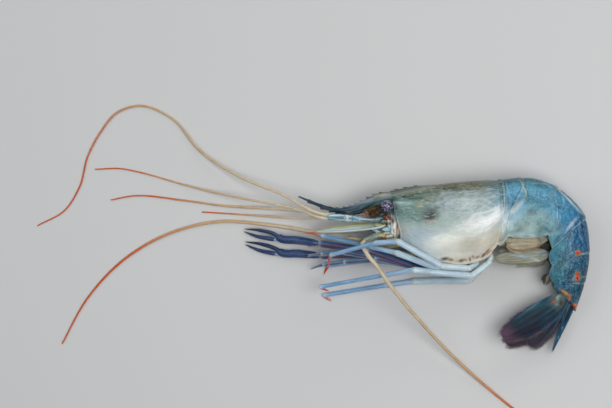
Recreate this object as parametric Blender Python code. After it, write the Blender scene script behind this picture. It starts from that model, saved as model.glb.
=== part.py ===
"""A giant freshwater prawn, life size, lying on its right side with the tail curled under the body.

The head points along -X, the back along +Y and the left side up, along +Z. The origin is on the floor,
under the middle of the carapace. Sizes are in millimetres and become metres as each mesh is made.
"""

import math

import bmesh
import bpy
import numpy as np

MM = 0.001
GAP = 0.32  # clear space between two pieces that meet
SEAM_GAP = 0.42  # the same between two plates of the body, whose edges curve

# The body from the head to the tail joint, in places one after another. Each place has its dorsal edge (x, y),
# ventral edge (x, y), half width, height of the middle plane over the floor, depth of the groove
# between the side flaps, and the angle round the section at which the outer skin ends.
BODY = (
    ((-27.5, 15.3), (-22.5, -8.5), 8.5, 15.9, 2.2, 152),
    ((-17.5, 17.5), (-16.5, -13.8), 12.5, 15.8, 3.6, 152),
    ((-7.5, 18.8), (-7.5, -18.0), 15.0, 15.7, 4.8, 152),
    ((2.5, 20.0), (2.5, -20.3), 16.5, 15.6, 5.2, 152),
    ((12.5, 20.8), (12.5, -20.0), 16.5, 15.6, 5.2, 152),
    ((20.5, 21.3), (20.5, -17.0), 15.5, 15.4, 4.8, 150),
    ((27.5, 21.5), (27.0, -11.5), 14.2, 14.8, 4.2, 146),
    ((37.0, 22.5), (32.5, -8.0), 13.8, 14.2, 4.2, 142),
    ((46.5, 21.8), (41.0, -7.5), 14.2, 13.7, 4.6, 140),
    ((56.0, 18.0), (49.0, -7.5), 13.6, 13.1, 4.4, 140),
    ((64.0, 11.5), (52.0, -8.8), 12.8, 12.3, 4.0, 142),
    ((70.3, 3.0), (52.0, -13.0), 11.8, 11.3, 3.8, 142),
    ((72.8, -13.5), (52.0, -21.0), 10.2, 9.8, 3.2, 146),
    ((70.8, -29.0), (53.4, -30.2), 8.4, 8.2, 2.2, 152),
    ((66.8, -41.5), (57.6, -36.0), 6.6, 7.0, 1.2, 160),
)
DORSAL, VENTRAL, HALF_WIDTH, MIDDLE, GROOVE, SKIN_END = (
    np.array([place[column] for place in BODY], float) for column in range(6)
)
FULLNESS = 0.88  # under 1 makes the flanks fuller than an ellipse
FLAP_THICKNESS = 1.3

ROOF_STEPS = 9  # round one side, from the back to the level of the groove's ceiling
FLAP_STEPS = 2  # from there to the flap's edge
SKIN_STEPS = ROOF_STEPS + FLAP_STEPS
INNER_START = SKIN_STEPS + 1
CEILING = SKIN_STEPS + FLAP_STEPS + 2

# Where each plate of the abdomen starts and ends, in places along BODY.
SEGMENTS = (
    ("abdomen_1", 6, 7),
    ("abdomen_2", 7, 9),
    ("abdomen_3", 9, 11),
    ("abdomen_4", 11, 12),
    ("abdomen_5", 12, 13),
    ("abdomen_6", 13, 14),
)
TAIL_END = 14
# How far a seam bows towards the tail, in places, at even steps from the back to the flap's edge.
SEAM_BOW = {
    0: (0.0, 0.04, 0.04, -0.03, 0.03, 0.1, 0.08, 0.0),
    6: (0.0, 0.12, 0.22, 0.25, 0.2, 0.1, -0.1, -0.25),
    7: (0.0, 0.14, 0.22, 0.02, -0.3, -0.42, -0.4, -0.3),
    9: (0.0, -0.08, -0.1, 0.12, 0.42, 0.6, 0.55, 0.25),
    11: (0.0, 0.0, -0.02, -0.04, -0.04, 0.0, 0.05, 0.05),
    12: (0.0, 0.02, 0.0, -0.04, -0.04, 0.0, 0.05, 0.05),
    13: (0.0, 0.03, 0.04, 0.02, 0.0, 0.02, 0.05, 0.05),
    TAIL_END: (0.0,) * 8,
}
# A plate's rings, as (share of its length, how proud the skin stands). Its rear rim stands over the next plate.
SEGMENT_RINGS = ((0.0, 0.0), (0.12, -0.25), (0.36, 0.0), (0.62, 0.05), (0.82, 0.15), (0.93, 0.4), (1.0, 0.0))
CARAPACE_RINGS = tuple((i / 18, 0.0) for i in range(18)) + ((0.985, 0.35), (1.0, 0.0))
END_LOBE = 0.5  # share of the flap's depth that is left at a plate's two ends
SEGMENT_CORNER = 0.5
CARAPACE_CORNER = 0.13

COLOURS = {
    "shell_pale": ((0.52, 0.55, 0.50), 0.28),
    "shell_blue": ((0.16, 0.29, 0.36), 0.25),
    "tail_blue": ((0.05, 0.13, 0.20), 0.25),
    "limb_blue": ((0.34, 0.52, 0.66), 0.32),
    "claw_blue": ((0.04, 0.13, 0.42), 0.30),
    "feeler": ((0.66, 0.50, 0.33), 0.40),
    "eye": ((0.05, 0.045, 0.09), 0.15),
    "stalk": ((0.16, 0.10, 0.05), 0.40),
    "membrane": ((0.48, 0.42, 0.30), 0.35),
}


def unit(vector):
    return vector / np.linalg.norm(vector)


def at(values, place):
    """The smooth curve through values, read at a place along them."""
    last = len(values) - 1
    low = min(max(int(math.floor(place)), 0), last - 1)
    t = place - low
    b, c = values[low], values[low + 1]
    a = values[low - 1] if low > 0 else 2 * b - c
    d = values[low + 2] if low + 2 <= last else 2 * c - b
    return 0.5 * (2 * b + (c - a) * t + (2 * a - 5 * b + 4 * c - d) * t**2 + (3 * b - a - 3 * c + d) * t**3)


class Section:
    """The body's cross-section at one place: a centre, the direction of the back, and sizes."""

    def __init__(self, place):
        dorsal, ventral = at(DORSAL, place), at(VENTRAL, place)
        span = dorsal - ventral
        self.centre = (dorsal + ventral) / 2
        self.half_depth = np.linalg.norm(span) / 2
        self.up = unit(span)
        self.half_width = at(HALF_WIDTH, place)
        self.middle = at(MIDDLE, place)
        self.groove = at(GROOVE, place)
        self.end = 1 - math.cos(math.radians(at(SKIN_END, place)))
        self.ceiling = self.groove - self.half_depth

    def side(self, level):
        """Half width of the outer skin at a level between the back and the flap's edge."""
        cosine = 1 - self.end * (1 - level / self.half_depth) / 2
        return self.half_width * math.sqrt(max(0.0, 1 - cosine**2)) ** FULLNESS

    def point(self, lateral, level):
        x, y = self.centre + self.up * level
        return np.array([x, y, self.middle + lateral])

    def outline(self, step, lobe):
        """Lateral offset and level of one point of the left half, from the back round to the groove."""
        if step <= ROOF_STEPS:
            full = math.acos(1 - self.end * (1 - self.ceiling / self.half_depth) / 2)
            level = self.half_depth * (1 - 2 * (1 - math.cos(full * step / ROOF_STEPS)) / self.end)
            return self.side(level) if step else 0.0, level
        if step < CEILING:
            down = step - ROOF_STEPS if step <= SKIN_STEPS else CEILING - 1 - step
            level = self.ceiling - self.groove * lobe * down / FLAP_STEPS
            inner = FLAP_THICKNESS if step >= INNER_START else 0.0
            return max(self.side(level) - inner, 0.8), level
        return 0.0, self.ceiling


def skin_share(step):
    """How far round from the back to the flap's edge a point of the outline lies, from 0 to 1."""
    outer = step if step <= SKIN_STEPS else max(2 * SKIN_STEPS + 1 - step, ROOF_STEPS)
    return outer / SKIN_STEPS


def bow(seam, step):
    steps = np.array(SEAM_BOW[seam], float)
    return float(at(steps, skin_share(step) * (len(steps) - 1)))


def body_point(place, step, lobe, proud=0.0):
    section = Section(place)
    lateral, level = section.outline(step, lobe)
    grow = 1 + proud / section.half_width if step <= SKIN_STEPS else 1.0
    return section.point(lateral * grow, level * grow)


def mirrored(point, place):
    """The same point on the right side, across the middle plane."""
    return np.array([point[0], point[1], 2 * Section(place).middle - point[2]])


def seam_place(seam, step, side):
    """The place of a seam at one point of the outline, held back by half the gap on one side of it."""
    place = seam + bow(seam, step)
    nudge = 0.02
    speed = (body_point(place + nudge, step, END_LOBE) - body_point(place - nudge, step, END_LOBE)) / (2 * nudge)
    before, after = max(step - 1, 0), min(step + 1, CEILING)
    along = body_point(seam + bow(seam, after), after, END_LOBE)
    along = unit(along - body_point(seam + bow(seam, before), before, END_LOBE))
    square = np.linalg.norm(speed - along * along.dot(speed))
    return place + side * SEAM_GAP / 2 / square


def lobe_share(share, corner):
    """How much of the flap's depth a plate has at a share of its length, with each corner rounded off."""
    inner = min(1.0, min(share, 1 - share) / corner)
    return END_LOBE + (1 - END_LOBE) * math.sin(math.pi / 2 * inner) ** 0.8


def plate_rings(start, end, profile, corner):
    """Rings of points for one plate of the body, and the middle point of each end."""
    starts = [seam_place(start, step, 1 if start else 0) for step in range(CEILING + 1)]
    ends = [seam_place(end, step, -1 if end < TAIL_END else 0) for step in range(CEILING + 1)]
    rings = []
    for share, proud in profile:
        lobe = lobe_share(share, corner)
        left, right = [], []
        for step in range(CEILING + 1):
            place = starts[step] * (1 - share) + ends[step] * share
            point = body_point(place, step, lobe, proud)
            left.append(point)
            if 0 < step < CEILING:
                right.append(mirrored(point, place))
        rings.append(left + right[::-1])
    return rings, [cap_middle(places) for places in (starts, ends)]


def cap_middle(places):
    section = Section(places[ROOF_STEPS // 2])
    return section.point(0.0, section.half_depth * 0.05)


def plate_caps(ring, middle):
    """Triangles that close one end: a fan over the flesh, and a strip down each flap."""
    count = 2 * CEILING
    left = list(range(CEILING + 1))
    right = [0] + [count - step for step in range(1, CEILING)] + [CEILING]
    faces = []
    for side in (left, right):
        edge = side[: ROOF_STEPS + 1] + side[CEILING - 1 :]
        faces += [(ring + a, ring + b, middle) for a, b in zip(edge, edge[1:])]
        for step in range(FLAP_STEPS):
            outer = side[ROOF_STEPS + step : ROOF_STEPS + step + 2]
            inner = side[CEILING - 1 - step], side[CEILING - 2 - step]
            faces += [(ring + outer[0], ring + outer[1], ring + inner[1])]
            faces += [(ring + outer[0], ring + inner[1], ring + inner[0])]
    return faces


def strip(first, second, count):
    """Triangles between two closed rings of points, given by the index of each ring's first point."""
    faces = []
    for i in range(count):
        j = (i + 1) % count
        faces += [(first + i, first + j, second + j), (first + i, second + j, second + i)]
    return faces


def add_piece(name, points, faces, material, smooth_deg=38):
    """One named object, with its origin at its first point and its faces turned outwards."""
    points = np.array(points, float)
    points[:, 2] = np.maximum(points[:, 2], 0.0)  # what would reach under the floor is flat on it
    origin = points[0].copy()
    mesh = bpy.data.meshes.new(name)
    mesh.from_pydata(((points - origin) * MM).tolist(), [], faces)
    work = bmesh.new()
    work.from_mesh(mesh)
    bmesh.ops.recalc_face_normals(work, faces=work.faces)
    work.to_mesh(mesh)
    work.free()
    mesh.materials.append(material)
    mesh.shade_smooth()
    mesh.set_sharp_from_angle(angle=math.radians(smooth_deg))
    piece = bpy.data.objects.new(name, mesh)
    piece.location = (origin * MM).tolist()
    bpy.context.scene.collection.objects.link(piece)
    return piece


def body_plate(name, start, end, profile, corner, material):
    rings, middles = plate_rings(start, end, profile, corner)
    size = len(rings[0])
    points = [point for ring in rings for point in ring] + middles
    faces = []
    for ring in range(len(rings) - 1):
        faces += strip(ring * size, (ring + 1) * size, size)
    faces += plate_caps(0, len(rings) * size)
    faces += plate_caps((len(rings) - 1) * size, len(rings) * size + 1)
    return add_piece(name, points, faces, material)


def lofted(name, rings, material, middles=None):
    """A closed piece through rings of points, with a fan on each end."""
    size = len(rings[0])
    points = [point for ring in rings for point in ring]
    points += middles or [np.mean(rings[0], axis=0), np.mean(rings[-1], axis=0)]
    faces = []
    for ring in range(len(rings) - 1):
        faces += strip(ring * size, (ring + 1) * size, size)
    for base, middle in ((0, len(points) - 2), ((len(rings) - 1) * size, len(points) - 1)):
        faces += [(base + i, base + (i + 1) % size, middle) for i in range(size)]
    return add_piece(name, points, faces, material)


def smooth_path(points, count):
    """count + 1 points along a smooth curve through points that may be unevenly spaced, and the length to each."""
    points = np.array(points, float)
    spans = np.linalg.norm(np.diff(points, axis=0), axis=1)
    knots = np.concatenate([[0.0], np.cumsum(spans)])
    slopes = np.diff(points, axis=0) / spans[:, None]
    inner = (slopes[:-1] * spans[1:, None] + slopes[1:] * spans[:-1, None]) / (spans[1:] + spans[:-1])[:, None]
    speeds = np.vstack([slopes[:1], inner, slopes[-1:]])
    path = []
    for knot in np.linspace(0.0, knots[-1], count + 1):
        i = min(int(np.searchsorted(knots, knot, side="right")) - 1, len(spans) - 1)
        t = (knot - knots[i]) / spans[i]
        ends = (2 * t**3 - 3 * t**2 + 1) * points[i] + (3 * t**2 - 2 * t**3) * points[i + 1]
        pulls = (t**3 - 2 * t**2 + t) * speeds[i] + (t**3 - t**2) * speeds[i + 1]
        path.append(ends + pulls * spans[i])
    path = np.array(path)
    lengths = np.linalg.norm(np.diff(path, axis=0), axis=1)
    return path, np.concatenate([[0.0], np.cumsum(lengths)])


def tangents(points):
    """The direction of a path at each of its points, midway between the two runs that meet there."""
    runs = [unit(b - a) for a, b in zip(points, points[1:])]
    return [runs[0]] + [unit(a + b) for a, b in zip(runs, runs[1:])] + [runs[-1]]


def round_profile(sides):
    return [(math.cos(2 * math.pi * i / sides), math.sin(2 * math.pi * i / sides)) for i in range(sides)]


def path_rings(points, sizes, profile, flat_axis=None):
    """Rings of a profile along a path. sizes are (half width, half thickness) at each point.

    The thickness lies along flat_axis, or without one along a direction carried down the path."""
    points = [np.array(point, float) for point in points]
    carried = np.array([0.0, 0.0, 1.0])
    rings = []
    for point, along, (width, thickness) in zip(points, tangents(points), sizes):
        thick = np.array(flat_axis, float) if flat_axis is not None else carried
        thick = unit(thick - along * thick.dot(along))
        carried = thick
        across = np.cross(along, thick)
        rings.append([point + across * width * u + thick * thickness * v for u, v in profile])
    return rings


def largest_surface(mesh):
    """Removes every closed surface of a mesh but the one with the most faces."""
    work = bmesh.new()
    work.from_mesh(mesh)
    left, surfaces = set(work.faces), []
    while left:
        front, surface = [left.pop()], []
        while front:
            face_here = front.pop()
            surface.append(face_here)
            near = {other for edge in face_here.edges for other in edge.link_faces} & left
            left -= near
            front += near
        surfaces.append(surface)
    surfaces.sort(key=len)
    for surface in surfaces[:-1]:
        bmesh.ops.delete(work, geom=surface, context="FACES")
    bmesh.ops.triangulate(work, faces=work.faces)
    work.to_mesh(mesh)
    work.free()


def fuse(piece, extras):
    """Joins closed pieces to one that they are rooted in, so that it stays one closed body."""
    group = bpy.data.collections.new(f"{piece.name}_extras")
    bpy.context.scene.collection.children.link(group)
    for extra in extras:
        bpy.context.scene.collection.objects.unlink(extra)
        group.objects.link(extra)
    union = piece.modifiers.new("union", "BOOLEAN")
    union.operation = "UNION"
    union.operand_type = "COLLECTION"
    union.collection = group
    union.solver = "EXACT"
    bpy.context.view_layer.update()
    joined = piece.evaluated_get(bpy.context.evaluated_depsgraph_get())
    mesh = bpy.data.meshes.new_from_object(joined)
    piece.modifiers.clear()
    piece.data = mesh
    largest_surface(mesh)
    for extra in extras:
        bpy.data.objects.remove(extra, do_unlink=True)
    bpy.data.collections.remove(group)


def spine(name, foot, direction, length, radius, material):
    """A small cone that leans along direction, with its root sunk under the surface at foot."""
    foot, direction = np.array(foot, float), unit(np.array(direction, float))
    path = [foot - direction * SPINE_SUNK, foot + direction * length * 0.55, foot + direction * length]
    sizes = [(radius * 1.25,) * 2, (radius * 0.6,) * 2, (SPINE_TIP,) * 2]
    return lofted(name, path_rings(path, sizes, round_profile(SPINE_SIDES)), material)


def material_of(name):
    colour, roughness = COLOURS[name]
    material = bpy.data.materials.new(name)
    material.use_nodes = True
    shader = material.node_tree.nodes["Principled BSDF"]
    shader.inputs["Base Color"].default_value = (*colour, 1.0)
    shader.inputs["Roughness"].default_value = roughness
    shader.inputs["Metallic"].default_value = 0.0
    return material


# Spines on the carapace, which all lean forwards: name, place, step round from the back, length and half thickness.
# Those at step 0 are the crest behind the rostrum, and the others stand in pairs below the eye and on the cheek.
CARAPACE_SPINES = (
    ("crest_front", 0.35, 0.0, 2.0, 0.62),
    ("crest_middle", 0.8, 0.0, 2.2, 0.62),
    ("crest_rear", 1.3, 0.0, 2.0, 0.58),
    ("antennal", 0.3, 5.0, 2.6, 0.66),
    ("hepatic", 0.95, 5.6, 2.6, 0.62),
)
SPINE_LEAN = 0.42  # how much a spine stands out for each unit forwards
SPINE_SUNK = 0.9
SPINE_TIP = 0.16
SPINE_SIDES = 5


def carapace_spines(material):
    spines = []
    for name, place, step, length, radius in CARAPACE_SPINES:
        foot = body_point(place, step, END_LOBE)
        forward = unit(body_point(place - 0.1, step, END_LOBE) - foot)
        section = Section(place)
        outward = foot - section.point(0.0, 0.0)
        outward = unit(outward - forward * outward.dot(forward))
        for side in (1, -1) if step else (1,):
            root = foot if side == 1 else mirrored(foot, place)
            lean = (forward + outward * SPINE_LEAN) * (1, 1, side)
            spines.append(spine(f"{name}_{side + 1}", root, lean, length, radius, material))
    return spines


# The front of the head, between the eyes and the mouth, fills the carapace's opening and stands before it.
FACE_LENGTH = 5.4
FACE_FILL = 0.82  # share of the opening's size
FACE_TOP_FILL = (0.42, 0.6, 0.6, 0.6, 0.64, 0.72)  # less for the first steps from the back, beside the eyes
FACE_RINGS = ((GAP, 1.0, 1.0), (0.6 * FACE_LENGTH, 1.0, 1.0), (FACE_LENGTH, 0.9, 0.94))


def head_frame(ahead):
    """A place before the carapace's rim, as (point on the middle plane, forward, up)."""
    rim = Section(0)
    forward = np.array([-rim.up[1], rim.up[0], 0.0])
    up = np.array([*rim.up, 0.0])
    return rim.point(0.0, 0.0) + forward * ahead, forward, up


def face_root(level, lateral):
    """A point just clear of the face's front, and the direction square to it."""
    centre, forward, up = head_frame(FACE_LENGTH + GAP)
    return centre + up * level + np.array([0.0, 0.0, lateral]), forward


def opening():
    """The carapace's front rim as points round its left half, and the middle of the opening."""
    places = [seam_place(0, step, 0) for step in range(CEILING + 1)]
    rim = [body_point(places[step], step, END_LOBE) for step in range(ROOF_STEPS + 1)]
    return rim, cap_middle(places)


def face(material):
    rim, middle = opening()
    rim_centre, forward, up = head_frame(0.0)
    fills = FACE_TOP_FILL + (FACE_FILL,) * (ROOF_STEPS + 1 - len(FACE_TOP_FILL))
    offsets = [(point - middle) * fill for point, fill in zip(rim, fills)]
    offsets += [offset * (1, 1, -1) for offset in offsets[:0:-1]]
    rings = []
    for number, (ahead, wide, deep) in enumerate(FACE_RINGS):
        ring = []
        for offset in offsets:
            lateral, level = offset[2] * wide, offset.dot(up) * deep
            depth = (middle + offset - rim_centre).dot(forward) + GAP if number == 0 else ahead
            centre = rim_centre + up * (middle - rim_centre).dot(up)
            ring.append(centre + up * level + forward * depth + np.array([0.0, 0.0, lateral]))
        rings.append(ring)
    front = rim_centre + up * (middle - rim_centre).dot(up) + forward * FACE_LENGTH
    lofted("face", rings, material, [middle + forward * GAP, front])


# Rostrum: its two edges run from the carapace's rim to the tip, as (x, y).
ROSTRUM_TOP = (
    (-33.0, 14.9), (-38.0, 12.8), (-43.0, 9.9), (-48.0, 8.3), (-54.0, 7.6), (-61.0, 9.1), (-73.0, 13.6),
)
ROSTRUM_LOW = (
    (-33.0, 7.8), (-38.0, 6.1), (-43.0, 4.5), (-48.0, 4.2), (-54.0, 4.9), (-61.0, 7.1), (-73.6, 13.0),
)
ROSTRUM_ROOT = 0.38  # share of the way from the rim's top to the opening's middle that the root covers
ROSTRUM_HALF_THICKNESS = 1.7
ROSTRUM_EDGE = 0.3
DORSAL_TEETH = 11
VENTRAL_TEETH = 9
TOOTH_HEIGHT = 0.9
TOOTH_LEAN = 1.3
TOOTH_STEPS = 4  # rings from one tooth to the next


def tooth(share, teeth, first, last):
    """1 at the tips of a row of teeth that runs from first to last along the blade, and 0 between them."""
    if not first <= share <= last:
        return 0.0
    phase = ((share - first) / (last - first) * teeth) % 1.0
    return 1.0 if abs(phase - 0.5) < 0.13 else 0.0


def rostrum(material):
    rim, middle = opening()
    _, forward, _ = head_frame(0.0)
    root_top = (rim[0] + forward * GAP)[:2]
    root_low = (rim[0] + (middle - rim[0]) * ROSTRUM_ROOT + forward * GAP)[:2]
    top = np.array([root_top, *ROSTRUM_TOP], float)
    low = np.array([root_low, *ROSTRUM_LOW], float)
    count = DORSAL_TEETH * TOOTH_STEPS + 5
    rings = []
    for i in range(count):
        share = i / (count - 1)
        upper = at(top, share * (len(top) - 1))
        lower = at(low, share * (len(low) - 1))
        depth = np.linalg.norm(upper - lower)
        up = unit(upper - lower)
        ahead = np.array([-up[1], up[0]])
        height = min(TOOTH_HEIGHT, depth * 0.55)
        stand = tooth(share, DORSAL_TEETH, 0.01, 0.94)
        upper = upper + (up * height + ahead * TOOTH_LEAN) * stand
        stand = tooth(share + 0.012, VENTRAL_TEETH, 0.28, 0.96)
        lower = lower + (-up * height + ahead * TOOTH_LEAN) * stand
        ridge = (upper + lower) / 2
        wide = ROSTRUM_EDGE + (ROSTRUM_HALF_THICKNESS - ROSTRUM_EDGE) * (1 - share**0.8)
        left = ((upper, ROSTRUM_EDGE), (ridge, wide), (lower, ROSTRUM_EDGE))
        loop = left + tuple((point, -lateral) for point, lateral in left[::-1])
        rings.append([np.array([*point, middle[2] + lateral]) for point, lateral in loop])
    lofted("rostrum", rings, material)


# The sternum fills the groove under the carapace, and the legs grow from it.
STERNUM_SPAN = (1.1, 5.75)
STERNUM_HALF_WIDTH = 5.9
STERNUM_RINGS = 12
STERNUM_RAISE = 1.4  # its lower face stands this far above the flaps' edges


def sternum_low(section):
    return STERNUM_RAISE - section.half_depth


def groove_ceiling(section):
    return section.ceiling


def underside(place, lateral, level_of):
    """A point just clear of a surface under the body, and the direction square to that surface."""
    section, ahead, behind = Section(place), Section(place + 0.15), Section(place - 0.15)
    run = ahead.point(0.0, level_of(ahead)) - behind.point(0.0, level_of(behind))
    square = unit(np.array([run[1], -run[0], 0.0]))
    square = square if square[:2].dot(section.up) < 0 else -square
    return section.point(lateral, level_of(section)) + square * GAP, square


def sternum(material):
    first, last = STERNUM_SPAN
    rings = []
    for i in range(STERNUM_RINGS):
        section = Section(first + (last - first) * i / (STERNUM_RINGS - 1))
        top = section.ceiling - GAP
        low = sternum_low(section)
        width = min(STERNUM_HALF_WIDTH, section.side(low) - FLAP_THICKNESS - 2 * GAP)
        loop = ((-width, top), (width, top), (width, low), (0.0, low), (-width, low))
        rings.append([section.point(lateral, level) for lateral, level in loop])
    lofted("sternum", rings, material)


# Legs: the place of the root along the body, its lateral offset, then the joints as (x, y, z).
# The last joint is the tip. LEG_RADII are the half thicknesses of the runs between joints.
LEG_RADII = (1.5, 1.35, 1.4, 1.15, 0.95, 0.7)
LEG_TIP_RADIUS = 0.18
LEG_ROOT_LENGTH = 1.7
LEGS = {
    "leg_1_left": (2.2, 2.4, (
        (-7.4, -20.8, 17.3), (-12.5, -22.6, 14.5), (-34.5, -17.5, 13.2), (-50.5, -14.7, 11.3),
        (-61.5, -15.5, 10.3), (-68.5, -17.0, 9.4),
    )),
    "leg_3_left": (3.55, 4.6, (
        (5.4, -22.9, 22.2), (-4.5, -22.3, 23.1), (-24.5, -14.8, 22.2), (-36.5, -12.0, 19.4),
        (-61.3, -6.3, 15.0), (-70.5, -5.0, 13.4),
    )),
    "leg_4_left": (4.3, 4.6, (
        (11.5, -22.5, 23.0), (-2.0, -21.4, 27.4), (-24.0, -9.0, 30.2), (-35.0, -9.8, 29.8),
        (-57.0, -15.8, 22.0), (-58.3, -22.3, 18.0),
    )),
    "leg_5_left": (5.15, 4.4, (
        (21.5, -19.8, 22.0), (13.0, -26.3, 24.5), (-16.0, -23.3, 25.0), (-29.5, -25.8, 22.0),
        (-62.5, -32.0, 13.0), (-57.6, -34.2, 11.2),
    )),
    "leg_1_right": (2.2, -2.4, (
        (-7.4, -20.8, 13.4), (-12.5, -21.4, 11.3), (-35.0, -18.5, 9.6), (-50.0, -19.5, 7.8),
        (-60.5, -21.0, 6.2), (-67.0, -23.5, 5.0),
    )),
    "leg_3_right": (3.55, -4.6, (
        (5.4, -22.8, 9.6), (-5.0, -22.0, 4.6), (-24.5, -13.5, 3.2), (-36.5, -11.5, 2.2),
        (-61.0, -10.5, 0.8), (-69.0, -12.0, 0.3),
    )),
    "leg_4_right": (4.3, -4.6, (
        (11.5, -22.7, 8.6), (-1.0, -25.4, 2.6), (-22.0, -19.0, 1.2), (-34.0, -18.5, 1.0),
        (-58.0, -21.5, 0.8), (-60.5, -26.0, 0.3),
    )),
    "leg_5_right": (5.15, -4.4, (
        (21.5, -20.6, 8.8), (12.5, -29.0, 4.8), (-15.5, -29.4, 1.2), (-29.0, -31.4, 1.0),
        (-60.5, -36.5, 0.8), (-56.5, -39.5, 0.3),
    )),
}
# Claw-bearing legs: the same, with the arm's joints to the wrist, then the palm's end and the fingers' tip.
ARM_RADII = (1.6, 1.5, 1.65, 1.75)
PALM_RADIUS = 2.0
FINGER_RADIUS = 1.05
ARMS = {
    "left": (
        2.9, 4.2, ((-1.6, -23.4, 19.4), (-8.5, -24.4, 18.6), (-38.5, -13.8, 16.2), (-62.5, -10.3, 9.0)),
        (-84.5, -7.2, 4.6), (-100.5, -4.0, 1.8),
    ),
    "right": (
        2.9, -4.2, ((-1.6, -22.6, 10.8), (-8.5, -23.2, 8.0), (-38.0, -15.8, 5.6), (-62.0, -16.5, 3.2)),
        (-84.0, -14.5, 1.95), (-100.0, -10.5, 1.2),
    ),
}
LEG_SIDES = 8
CLAWED_LEGS = ("leg_1_left", "leg_1_right")  # these end in two small fingers
LEG_CLAW_SPREAD = 1.1
LEG_CLAW_RADIUS = 0.45
JOINT_PINCH = 0.72
JOINT_REACH = 1.3  # the pinch at a joint ends this far from it


def limb_rings(points, radii, tip_radius, sides=LEG_SIDES):
    """A jointed limb: each run swells out of a pinched joint, and the last run tapers to the tip."""
    path, sizes = [], []
    runs = list(zip(points, points[1:], radii))
    for number, (start, end, radius) in enumerate(runs):
        start, end = np.array(start, float), np.array(end, float)
        length = np.linalg.norm(end - start)
        reach = min(JOINT_REACH, length * 0.22) / length
        last = number == len(runs) - 1
        stops = [(0.0, radius * JOINT_PINCH if number else radius), (reach, radius * 1.05)]
        if last:
            stops += [(0.5, (radius + tip_radius) * 0.55), (1.0, tip_radius)]
        else:
            stops += [(0.5, radius * 0.97), (1 - reach, radius)]
        path += [start + (end - start) * share for share, _ in stops]
        sizes += [(size, size) for _, size in stops]
    return path_rings(path, sizes, round_profile(sides))


def leg(name, place, lateral, joints, material):
    root, square = underside(place, lateral, sternum_low)
    points = [root, root + square * LEG_ROOT_LENGTH, *joints]
    piece = lofted(name, limb_rings(points, (LEG_RADII[0], *LEG_RADII), LEG_TIP_RADIUS), material)
    if name in CLAWED_LEGS:
        wrist, tip = (np.array(joint, float) for joint in joints[-2:])
        aside = unit(np.cross(tip - wrist, (0.0, 0.0, 1.0))) * LEG_CLAW_SPREAD
        foot = wrist + (tip - wrist) * 0.45 + aside * 0.4
        finger = tip + aside - foot
        fuse(piece, [spine(f"{name}_finger", foot, finger, np.linalg.norm(finger), LEG_CLAW_RADIUS, material)])


def arm(side, place, lateral, joints, palm_end, tip, arm_material, claw_material):
    root, square = underside(place, lateral, sternum_low)
    points = [root, root + square * LEG_ROOT_LENGTH, *joints]
    rings = limb_rings(points, (ARM_RADII[0], *ARM_RADII), ARM_RADII[-1] * 0.95)
    lofted(f"arm_{side}", rings, arm_material)
    wrist, palm_end, tip = (np.array(point, float) for point in (joints[-1], palm_end, tip))
    hand = unit(palm_end - wrist)
    neck = wrist + unit(wrist - joints[-2]) * (GAP + 0.1)
    spread = unit(np.cross(hand, (0.0, 0.0, 1.0)))
    fixed_tip = tip + spread * 0.9
    path = [neck, neck + unit(wrist - joints[-2]), neck + hand * 3, (neck + palm_end) / 2]
    path += [palm_end - hand * 1.5, palm_end + spread * 0.9]
    path += [palm_end + (fixed_tip - palm_end) * 0.5 + spread * 1.3, fixed_tip]
    sizes = [(PALM_RADIUS * scale,) * 2 for scale in (0.75, 0.8, 1.0, 1.05, 1.0)]
    sizes += [(FINGER_RADIUS,) * 2, (FINGER_RADIUS * 0.8,) * 2, (0.3, 0.3)]
    lofted(f"claw_{side}", path_rings(path, sizes, round_profile(LEG_SIDES)), claw_material)
    hinge = palm_end + hand * (GAP + 0.4) - spread * 1.25
    end = tip - spread * 0.5
    middle = (hinge + end) / 2 - spread * 0.7
    sizes = [(FINGER_RADIUS * scale,) * 2 for scale in (0.85, 1.0, 0.8)] + [(0.3, 0.3)]
    path = [hinge, hinge + (middle - hinge) * 0.3, middle, end]
    lofted(f"claw_finger_{side}", path_rings(path, sizes, round_profile(LEG_SIDES)), claw_material)


# Mouth legs hang under the head, one each side. Their joints are (x, y, offset from the middle plane).
MOUTH_LEG_PLACE = 1.5
MOUTH_LEG_LATERAL = 2.3
MOUTH_LEG_JOINTS = ((-21.0, -15.8, 2.2), (-31.5, -12.2, 1.8), (-41.0, -8.6, 1.7), (-48.5, -7.6, 1.4))
MOUTH_LEG_RADII = (1.5, 1.35, 1.2, 1.0, 0.8)


def mouth_leg(name, side, material):
    root, square = underside(MOUTH_LEG_PLACE, side * MOUTH_LEG_LATERAL, sternum_low)
    middle = Section(0).middle
    joints = [(x, y, middle + side * lateral) for x, y, lateral in MOUTH_LEG_JOINTS]
    points = [root, root + square * LEG_ROOT_LENGTH, *joints]
    lofted(name, limb_rings(points, MOUTH_LEG_RADII, 0.3), material)


# Eyes stand on short stalks that come out of the face forwards and turn back and outwards.
EYE_RADIUS = 3.1
EYE_CENTRE = (-29.3, 8.4, 8.9)
STALK_LEVEL = 4.1
STALK_LATERAL = 2.0
STALK_BENDS = ((-34.8, 6.4, 3.5), (-35.4, 5.6, 7.0))
STALK_HALF_SIZES = (1.2, 1.25, 1.6, 2.2, 2.2)
EYE_RINGS = 9
EYE_SIDES = 14


def head_points(places, side):
    """Places given as (x, y, offset from the middle plane), on the left for side 1 and on the right for -1."""
    middle = Section(0).middle
    return [np.array([x, y, middle + side * lateral]) for x, y, lateral in places]


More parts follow.
